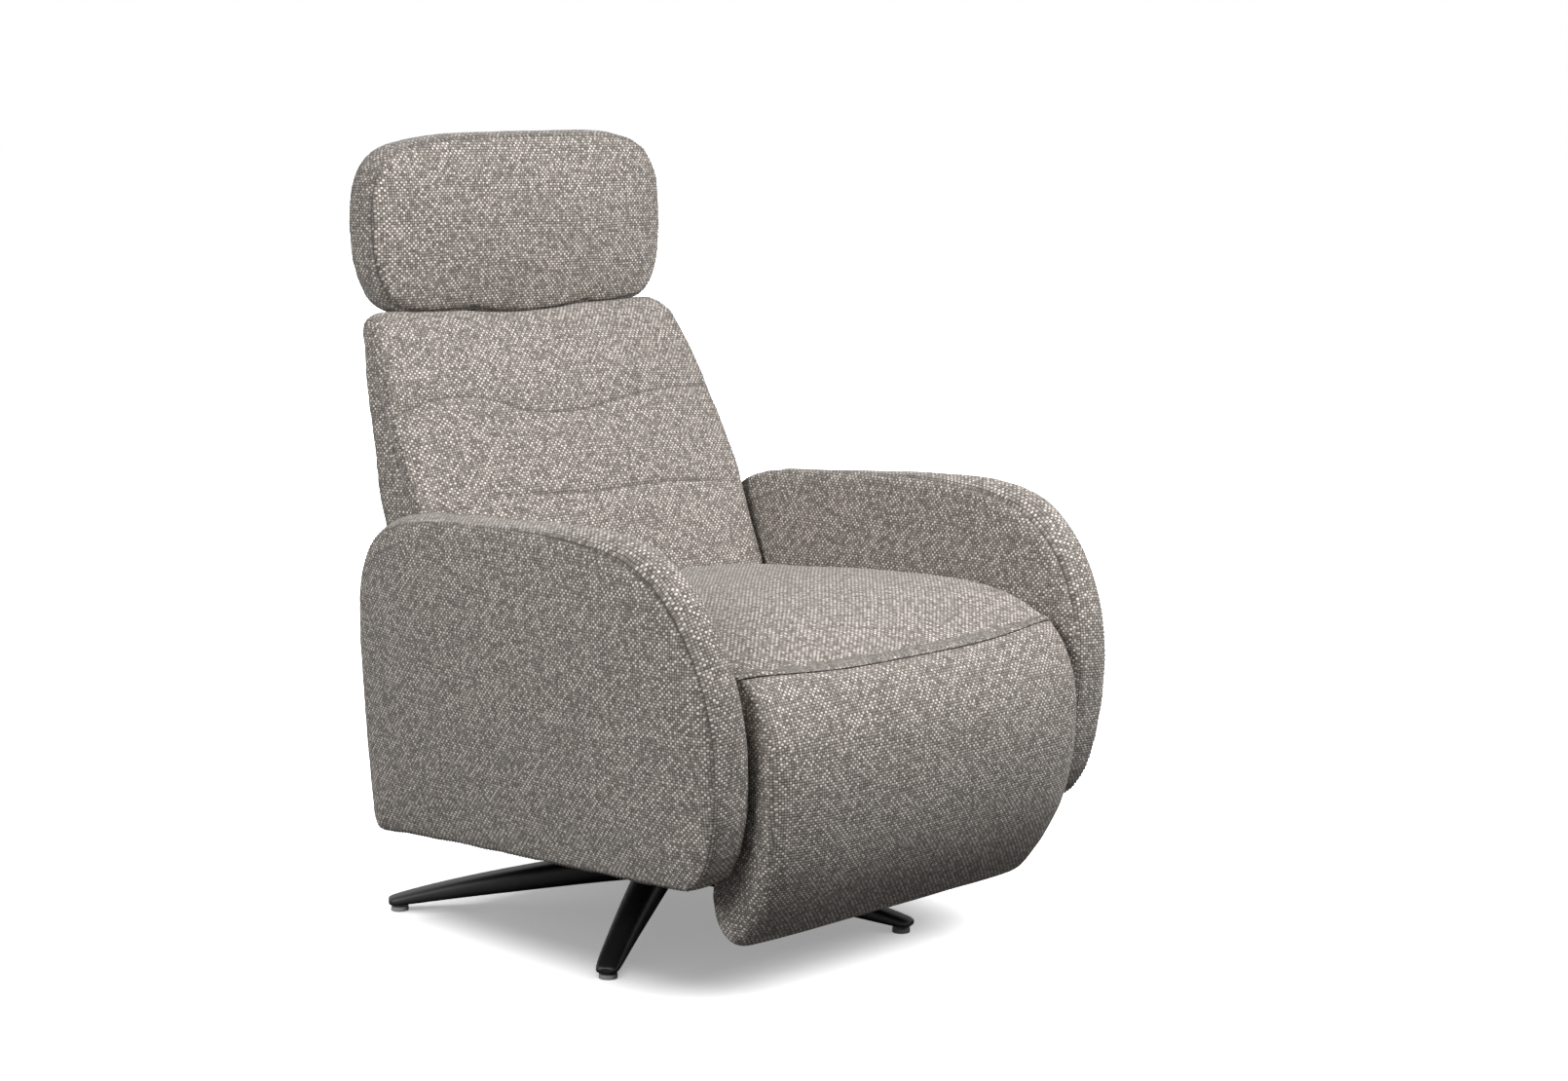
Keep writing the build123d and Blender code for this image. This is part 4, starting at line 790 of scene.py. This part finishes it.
def footrestOutline(x, crown, inset, lift):
    # lift raises the lower end towards the sides
    front = [(-500, 430), (-514, 413), (-529, 384), (-537, 354), (-540, 314), (-537, 262), (-524, 200),
             (-500, 152), (-480, 124), (-462, 104)]
    swellBy = [0.8, 0.85, 0.9, 0.95, 1, 1, 0.95, 0.85, 0.7, 0.5]
    drop = [0, 0, 0, 0, 0, 0, 0.2, 0.6, 0.85, 1.0]
    raised = [Vector((y - crown * k + inset, z - crown * d * 0.75 + lift * d))
              for (y, z), k, d in zip(front, swellBy, drop)]
    raised[0] = raised[0].lerp(onFold(fold["radius"] + 4.5, foldAngle(x) + 14), foldShare(x))
    seam = onFold(fold["radius"] - 0.3, foldAngle(x) + 2.5)
    low = raised[-1].y
    roller = [onFold(fold["radius"] - 0.9, angle) for angle in (-45, -15, 15, 45)]
    roller.append(onFold(fold["radius"] - 0.8, (foldAngle(x) + 55) / 2))
    toe = Vector((-417, low + 30))
    return loopOf(
        ([seam, *raised], 76),
        ([raised[-1], Vector((-450, low - 9)), Vector((-434, low - 6)), Vector((-421, low + 8)), toe], 14),
        ([toe, Vector((-440, 260)), Vector((-474, 405))], 40),
        ([Vector((-474, 405)), roller[0]], 2),
        ([*roller, seam], 12),
    )


def footrestNarrow(height):
    # the pad's width at a height, as a share of its full width
    return 1 - footrest["taper"] * min(1.0, max(0.0, (340 - height) / 220)) ** 1.4


def footrestRing(x, crown, inset, lift):
    return [Vector((x * footrestNarrow(p.y), p.x, p.y)) for p in footrestOutline(x, crown, inset, lift)]


footrestStations = (
    (0, 16, 0, -3), (60, 15.9, 0, -3), (120, 15.3, 0, -3.5), (180, 13.8, 0, -5), (225, 11.6, 0, -6.5),
    (252, 9, 0, -8), (270, 6.2, 0, -9), (283, 3, 0.8, -7), (290, 0.8, 2.5, -2), (293.5, 0, 6, 6),
    (294.5, 0, 11, 14),
)
footrestRings = [footrestRing(*station) for station in sections(footrestStations, 60)]
footrestPad = padFromRings("footrestCushion", footrestRings, 10)
footrestSides = []
for side in (-1, 1):
    edge = footrestOutline(fold["half"], 0, 4, 8)[:76]
    footrestSides.append([Vector((side * 290.0 * footrestNarrow(p.y), p.x, p.y)) for p in edge])
footrestTop = [ring[0] for ring in footrestRings]
footrestSeams = lineTree([footrestTop, *footrestSides])
# the cover is also held where it turns under the board
footrestHems = [[ring[k] for ring in footrestRings] for k in (76, 83, 90)]
footrestHolds = lineTree([footrestTop, *footrestSides, *footrestHems])
fillOut(footrestPad, footrest, footrestHolds, 23.0, footrestSeams)
sewSeams(footrestPad, footrestSeams, 0.0, 0.0035, pucker=0.0009, reach=0.018, shade=0.3)
layWeave(footrestPad, footrestOutline(0, 10, 0, 0), lambda p: (p.y, p.z, p.x / footrestNarrow(p.z)),
         -289.0, 289.0)
finishPad(footrestPad, "footrest", ["footrest_cushion"])


# the backrest is drawn along and in front of a line through the recline axle
back = {
    "axle": Vector((110.0, 400.0)), "lean": radians(27.4), "barrel": 106.0,
    "voxel": 0.0065, "pressure": 3.0, "cap": 0.006, "hold": 0.008, "uneven": 0.002, "coarseness": 8.0,
}
backUp = Vector((sin(back["lean"]), cos(back["lean"])))
backForward = Vector((-cos(back["lean"]), sin(back["lean"])))


def onBack(along, forward):
    return back["axle"] + backUp * along + backForward * forward


def backHalf(along):
    # the border's half-width up the backrest
    table = [(0, 290), (120, 298), (200, 308), (250, 307.5), (300, 305), (350, 301), (400, 295), (440, 287),
             (460, 283), (500, 277)]
    for (a, wa), (b, wb) in zip(table, table[1:]):
        if along <= b:
            t = max(0.0, (along - a) / (b - a))
            return wa + (wb - wa) * t
    return table[-1][1]


def backOutline(crown, rearCrown, drop, inset, hollow):
    top = 500 - drop
    ahead = 42 - inset
    heights = (16, 50, 90, 150, 210, 270, 330, 390, 440, 466)
    profile = (-0.05, 0.25, 0.65, 0.95, 1.05, 1.0, 0.95, 0.82, 0.5, 0.16)
    front = [onBack(min(h, top - 26), ahead + crown * k) for h, k in zip(heights, profile)
             if h < top - 20]
    rearTop = 501 - drop * 0.45
    crest = [onBack(top - 16, ahead - 5), onBack(top - 4, ahead - 15),
             onBack(0.5 * (top + rearTop) + 1, ahead - 26), onBack(rearTop - 3, 6),
             onBack(rearTop - 15, 0.5 + inset)]
    rear = [crest[-1], onBack(top * 0.72 + 10, -12 - rearCrown * 0.8 + inset),
            onBack(250, -38 - rearCrown + inset),
            Vector((back["axle"].x + back["barrel"] - inset, 470)),
            Vector((back["axle"].x + back["barrel"] - inset, 420))]

    def onBarrel(radius, angle):
        return back["axle"] + Vector((cos(radians(angle)), sin(radians(angle)))) * radius

    outer = back["barrel"] - inset
    inner = 92.0 if hollow else 24.0
    lower = [onBarrel(outer, a) for a in (10, -10, -30, -48, -58)]
    edge = [lower[-1], onBarrel(outer - 4, -61), onBarrel((outer + inner) / 2, -62),
            onBarrel(inner + 3, -60)]
    within = [edge[-1], onBarrel(inner, -45), onBarrel(inner, -20), onBarrel(inner, 8)]
    floor = [within[-1], onBarrel(60 if hollow else 30, 75), onBarrel(52, 100), front[0]]
    return loopOf(
        (front + [crest[0]], 64), (crest, 14), (rear, 50), ([rear[-1], *lower], 18), (edge, 5),
        (within, 18), (floor, 10),
    )


def backRing(share, crown, rearCrown, drop, inset, hollow):
    ring = []
    for p in backOutline(crown, rearCrown, drop, inset, hollow):
        along = (p - back["axle"]).dot(backUp)
        half = backHalf(along)
        if p.y < 428:
            half = min(half, 266.0)
        elif p.y < 450:
            half = 266.0 + (half - 266.0) * (p.y - 428) / 22
        ring.append(Vector((share * half, p.x, p.y)))
    return ring


backStations = (
    (0.0, 29, 15, 7, 0, True), (0.2, 28, 14.5, 5, 0, True), (0.4, 25, 13, 0.5, 0, True),
    (0.58, 20.5, 10.5, 0, 0, True),
    (0.72, 15.5, 7.5, -1, 0, True), (0.83, 10.5, 5, -2.5, 0, True), (0.91, 7, 3, -2, 0, True),
    (0.955, 4.5, 1.5, 1.5, 0, True), (0.985, 2.5, 0.5, 9, 0, False), (1.0, 1.0, 0, 17, 0.5, False),
    (1.007, 0, 0, 24, 4, False), (1.012, 0, 0, 30, 10, False), (1.014, 0, 0, 36, 16, False),
)
backPad = padFromRings("backrestPad", [backRing(*station) for station in mirrored(backStations)])
remesh(backPad, back["voxel"], 3)


def backCrown(x):
    return 26.0 * max(0.0, 1 - (abs(x) / 292.0) ** 2.2)


def frontLine(points, count):
    # a sewn line on the backrest's front, from (x, along) pairs
    line = []
    for p in trace([Vector(p) for p in points], count) + [Vector(points[-1])]:
        place = onBack(p.y, 42 + backCrown(p.x))
        line.append(Vector((p.x, place.x, place.y)))
    return line


upperSeam = frontLine([
    (-288, 336), (-260, 342), (-237, 347), (-186, 347), (-147, 340), (-121, 330), (-93, 317), (-44, 308),
    (11, 307), (69, 315), (129, 325), (190, 331), (240, 334), (274, 335), (288, 335),
], 200)
lowerSeam = frontLine([
    (-288, 176), (-240, 179), (-197, 182), (-149, 186), (-102, 185), (-50, 181), (-15, 178), (15, 179),
    (70, 181), (128, 182), (173, 180), (241, 176), (288, 174),
], 200)


def sideLine(side, start, length, count, inside, forwardAt):
    # a line up the backrest's border; forwardAt gives its place in front of the axle's line
    line = []
    for k in range(count):
        along = start + length * k / (count - 1)
        place = onBack(along, forwardAt(along))
        line.append(Vector((side * (backHalf(along) - inside), place.x, place.y)))
    return line


def rearBorder(along):
    return 3 - 44 * min(1.0, (462 - along) / 300)


borderLines = [sideLine(side, 60, 396, 60, 0.5, forwardAt) for side in (-1, 1)
               for forwardAt in (lambda along: 41.0, rearBorder)]
channels = lineTree([upperSeam, lowerSeam])
borders = lineTree(borderLines)
fillOut(backPad, back, lineTree([upperSeam, lowerSeam] + borderLines), 31.0)
sewSeams(backPad, channels, 0.0022, 0.013, pucker=0.0012, reach=0.02, shade=0)
sewSeams(backPad, channels, 0.002, 0.003)
pinch(backPad, borders, 0.007, 0.7)
sewSeams(backPad, borders, 0.0015, 0.0035, pucker=0.0014, reach=0.018)


def backPlane(place):
    along = (Vector((place.y, place.z)) - back["axle"]).dot(backUp)
    return place.y, place.z, place.x * 290.0 / backHalf(along)


layWeave(backPad, backOutline(20, 10, 0, 0, True), backPlane, -285.5, 285.5)
finishPad(backPad, "back", ["back_cushion", "back_shell"])


head = {
    "front": 308.0, "depth": 56.0,
    "voxel": 0.006, "pressure": 3.5, "cap": 0.007, "hold": 0.007, "uneven": 0.002, "coarseness": 10.0,
}
headOutline = loopOf(
    ([(0, 1104.5), (120, 1104.5), (190, 1101), (238, 1085), (264, 1050), (273, 1000), (274, 955),
      (269, 912), (257, 881), (236, 861), (190, 852), (150, 850), (132, 851), (117, 853.5), (102, 850),
      (54, 844), (5, 841.5), (-39, 844), (-79, 849), (-93, 852.5), (-107, 850.5), (-149, 849.5),
      (-210, 854), (-236, 863), (-253, 884), (-266, 914), (-273, 955), (-273, 1000), (-264, 1045),
      (-239, 1075), (-194, 1092), (-120, 1100), (0, 1104.5)], 240),
)
headRings = (
    (-24, 88), (-23, 70), (-20.5, 50), (-16, 31), (-10, 15), (-4, 4), (0, 0),
    (6, -3), (16, -5), (28, -6), (40, -5), (50, -3), (56, 0), (60, 5), (64, 16), (67.5, 31), (70, 50),
    (71.5, 70), (72, 88),
)
headMiddle = Vector((0, 980))
headHalf = Vector((268, 119))


def headRing(across, inset):
    ring = []
    count = len(headOutline)
    for k, point in enumerate(headOutline):
        tangent = (headOutline[(k + 2) % count] - headOutline[k - 2]).normalized()
        inward = Vector((tangent.y, -tangent.x))
        if inset > 16:
            share = Vector((1 - inset / headHalf.x, 1 - inset / headHalf.y))
            place = shrunk(point, headMiddle, share)
        else:
            place = point + inward * inset
        ring.append(Vector((place.x, head["front"] + across, place.y)))
    return ring


headPad = padFromRings("headrestPad", [headRing(w, inset) for w, inset in headRings])
remesh(headPad, head["voxel"], 3)
headSeams = lineTree([closed(headRing(across, 1.0)) for across in (0, head["depth"])])
fillOut(headPad, head, headSeams, 43.0)
pinch(headPad, headSeams, 0.007, 0.7)
sewSeams(headPad, headSeams, 0.0015, 0.0035, pucker=0.0016, reach=0.02)
layWeave(headPad, headOutline, lambda p: (p.x, p.z, p.y - head["front"]), 0.0, head["depth"])
finishPad(headPad, "headrest", ["headrest_cushion"])


valance = {"half": 286.0, "front": 191.0, "low": 134.0, "high": 326.0}
valanceRings = ((0, 6), (0.5, 2), (3, 0), (11, 0), (13.5, 2.5), (15, 9), (16.5, 30), (17, 60))
valanceOutline = loopOf(
    ([(-valance["half"], valance["low"]), (0, valance["low"]), (valance["half"], valance["low"])], 60),
    ([(valance["half"], valance["low"]), (valance["half"], valance["high"])], 20),
    ([(valance["half"], valance["high"]), (0, valance["high"]), (-valance["half"], valance["high"])], 60),
    ([(-valance["half"], valance["high"]), (-valance["half"], valance["low"])], 20),
)


def valanceRing(across, inset):
    middle = Vector((0, (valance["low"] + valance["high"]) / 2))
    tall = (valance["high"] - valance["low"]) / 2
    share = Vector((1 - inset / valance["half"], 1 - inset / tall))
    return [Vector(((p.x - middle.x) * share.x, valance["front"] + across,
                    middle.y + (p.y - middle.y) * share.y)) for p in valanceOutline]


valancePad = padFromRings("backValance", [valanceRing(w, inset) for w, inset in valanceRings])
remesh(valancePad, 0.006, 1)
settle(valancePad, 0.0012, 9.0, 57.0)
layWeave(valancePad, valanceOutline, lambda p: (p.x, p.z, p.y - valance["front"]), 3.0, 11.0)
finishPad(valancePad, "chassis", ["rear_valance"])
print("pads made")


# single stitches beside the seams and in the channels
stitchLook = {"pitch": 6.5, "length": 4.6, "width": 1.1, "height": 0.8, "rise": 0.15}
armRow = 4.0  # how far inside its seam a row runs
for name, side, pad in (("stitchesLeft", 1, leftArm), ("stitchesRight", -1, rightArm)):
    stitches(name + "Outer", armRing(arm["band"] - armRow, 0.0, side), pad, "chassis", stitchLook)
    stitches(name + "Inner", armRing(armRow, 0.0, side), pad, "chassis", stitchLook)
stitches("stitchesHead", headRing(armRow, -2.0), headPad, "headrest", stitchLook)
stitches("stitchesUpper", upperSeam, backPad, "back", stitchLook)
stitches("stitchesLower", lowerSeam[90:], backPad, "back", stitchLook)
for side in (-1, 1):
    for name, inside in (("stitchesEdge", 6.0), ("stitchesTwin", 13.0)):
        line = sideLine(side, 70, 376, 40, inside, lambda along: 46.0)
        stitches(name + ("Left" if side > 0 else "Right"), line, backPad, "back", stitchLook)
print("stitches made")


# the cast base: a hub and five tapering legs with rounded tops
base = {"legs": 5, "firstAngle": 217.6, "hubRadius": 50.0, "square": 0.55, "draft": 0.12}
# how far out, half the width, lowest and highest point of each section of a leg
legSections = (
    (26, 28, 33, 76), (60, 27.5, 32.5, 73), (120, 25.5, 29, 67), (200, 23, 23, 57), (270, 20.5, 18, 46.5),
    (325, 18.8, 13.5, 36.5), (365, 17.6, 10, 28), (386, 16.5, 8.4, 22.5), (394, 14.5, 8.6, 20.5),
    (398, 10.5, 10.5, 18),
)
# how far inside the hub's radius, and how high, each ring of the hub lies
hubSections = ((8, 30), (1.5, 31), (0, 34), (0, 82), (1.5, 86), (5, 88), (14, 88))


def softPower(value, power):
    return abs(value) ** power * (1 if value > 0 else -1)


def makeBase():
    mesh = bmesh.new()
    for leg in range(base["legs"]):
        turn = Matrix.Rotation(radians(base["firstAngle"] + 360 / base["legs"] * leg), 3, "Z")
        rings = []
        for reach, half, low, high in legSections:
            ring = []
            for k in range(24):
                angle = 2 * pi * (k + 0.5) / 24
                rise = softPower(sin(angle), base["square"])
                narrowing = 1 - base["draft"] * max(0.0, rise)
                across = softPower(cos(angle), base["square"]) * half * narrowing
                ring.append(turn @ Vector((reach, across, (low + high) / 2 + rise * (high - low) / 2)))
            rings.append(ring)
        hoops = addRings(mesh, rings)
        for hoop in (hoops[0], hoops[-1]):
            closeHoop(mesh, hoop, 6)
    hub = []
    for shrink, height in hubSections:
        radius = base["hubRadius"] - shrink
        angles = [2 * pi * k / 48 for k in range(48)]
        hub.append([Vector((cos(a), sin(a), 0)) * radius + Vector((0, 0, height)) for a in angles])
    hoops = addRings(mesh, hub)
    for hoop in (hoops[0], hoops[-1]):
        closeHoop(mesh, hoop, 12)
    piece = makeObject("castBase", mesh)
    for polygon in piece.data.polygons:
        polygon.use_smooth = True
    smooth = piece.modifiers.new("rounder", "SUBSURF")
    smooth.levels = 1
    smooth.render_levels = 1
    piece.data.materials.append(blackCoat)
    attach(piece, "base")
    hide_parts("star_base")


makeBase()
print("base made")

view = {
    "place": (-2.57534, -2.93073, 1.13807), "pitch": 8.877, "heading": -43.914,
    "sensor": 36.0, "focal": 2819.69 * 36 / 1610,
}
cameraData = bpy.data.cameras.new("camera")
cameraData.sensor_width = view["sensor"]
cameraData.sensor_fit = "HORIZONTAL"
cameraData.lens = view["focal"]
camera = bpy.data.objects.new("camera", cameraData)
camera.location = view["place"]
camera.rotation_euler = (radians(90 - view["pitch"]), 0, radians(view["heading"]))
scene.collection.objects.link(camera)
scene.camera = camera

lights = {
    "main": {"place": (0.9, -1.85, 2.52), "target": (0, -0.1, 0.6), "size": 1.1, "power": 73},
    "left": {"place": (-3.2, -0.9, 2.2), "target": (0, 0, 0.6), "size": 1.6, "power": 74},
}
shadowSun = {"tilt": (radians(20), radians(8), 0), "spread": radians(84), "strength": 5.2}
worldLevel = 0.21
floorLook = {"seen": 1.5, "glow": 0.3, "bounce": 0.08}

# the lamps leave the floor to a soft light of its own, so that it stays white up to a close shadow
floorOnly = bpy.data.collections.new("floorOnly")
notFloor = bpy.data.collections.new("notFloor")
for name, look in lights.items():
    lightData = bpy.data.lights.new(name, "AREA")
    lightData.shape = "DISK"
    lightData.size = look["size"]
    lightData.energy = look["power"]
    lamp = bpy.data.objects.new(name, lightData)
    lamp.location = look["place"]
    aim = Vector(look["target"]) - Vector(look["place"])
    lamp.rotation_euler = aim.to_track_quat("-Z", "Y").to_euler()
    scene.collection.objects.link(lamp)
    lamp.light_linking.receiver_collection = notFloor

sunData = bpy.data.lights.new("overhead", "SUN")
sunData.energy = shadowSun["strength"]
sunData.angle = shadowSun["spread"]
overhead = bpy.data.objects.new("overhead", sunData)
overhead.rotation_euler = shadowSun["tilt"]
scene.collection.objects.link(overhead)
overhead.light_linking.receiver_collection = floorOnly

world = bpy.data.worlds.new("studio")
scene.world = world
world.use_nodes = True
tree = world.node_tree
tree.nodes.clear()
worldOut = tree.nodes.new("ShaderNodeOutputWorld")
grounds = []
for level in (worldLevel, 1.0):
    ground = tree.nodes.new("ShaderNodeBackground")
    ground.inputs["Color"].default_value = (1.0, 1.0, 1.0, 1.0)
    ground.inputs["Strength"].default_value = level
    grounds.append(ground)
rays = tree.nodes.new("ShaderNodeLightPath")
reflected = mathNode(tree, "MAXIMUM", rays.outputs["Is Glossy Ray"], rays.outputs["Is Transmission Ray"])
seen = mathNode(tree, "MAXIMUM", rays.outputs["Is Camera Ray"], reflected)
mixer = tree.nodes.new("ShaderNodeMixShader")
for value, socket in zip((seen, grounds[0].outputs[0], grounds[1].outputs[0]), mixer.inputs):
    tree.links.new(value, socket)
tree.links.new(mixer.outputs[0], worldOut.inputs[0])

floorMesh = bmesh.new()
bmesh.ops.create_grid(floorMesh, x_segments=1, y_segments=1, size=60.0)
floorData = bpy.data.meshes.new("floor")
floorMesh.to_mesh(floorData)
floorMesh.free()
floor = bpy.data.objects.new("floor", floorData)
scene.collection.objects.link(floor)
floorFinish = bpy.data.materials.new("floorWhite")
floorFinish.use_nodes = True
tree = floorFinish.node_tree
tree.nodes.clear()
floorOut = tree.nodes.new("ShaderNodeOutputMaterial")
whites = {}
for key in ("bounce", "seen"):
    whites[key] = tree.nodes.new("ShaderNodeBsdfDiffuse")
    whites[key].inputs["Color"].default_value = (floorLook[key],) * 3 + (1.0,)
glow = tree.nodes.new("ShaderNodeEmission")
glow.inputs["Strength"].default_value = floorLook["glow"]
bright = tree.nodes.new("ShaderNodeAddShader")
tree.links.new(whites["seen"].outputs[0], bright.inputs[0])
tree.links.new(glow.outputs[0], bright.inputs[1])
rays = tree.nodes.new("ShaderNodeLightPath")
mixer = tree.nodes.new("ShaderNodeMixShader")
for value, socket in zip((rays.outputs["Is Camera Ray"], whites["bounce"].outputs[0], bright.outputs[0]),
                         mixer.inputs):
    tree.links.new(value, socket)
tree.links.new(mixer.outputs[0], floorOut.inputs[0])
floorOnly.objects.link(floor)
notFloor.objects.link(floor)
floorOnly.collection_objects[0].light_linking.link_state = "INCLUDE"
notFloor.collection_objects[0].light_linking.link_state = "EXCLUDE"
floorData.materials.append(floorFinish)

scene.view_settings.view_transform = "Standard"

print("scene ready")
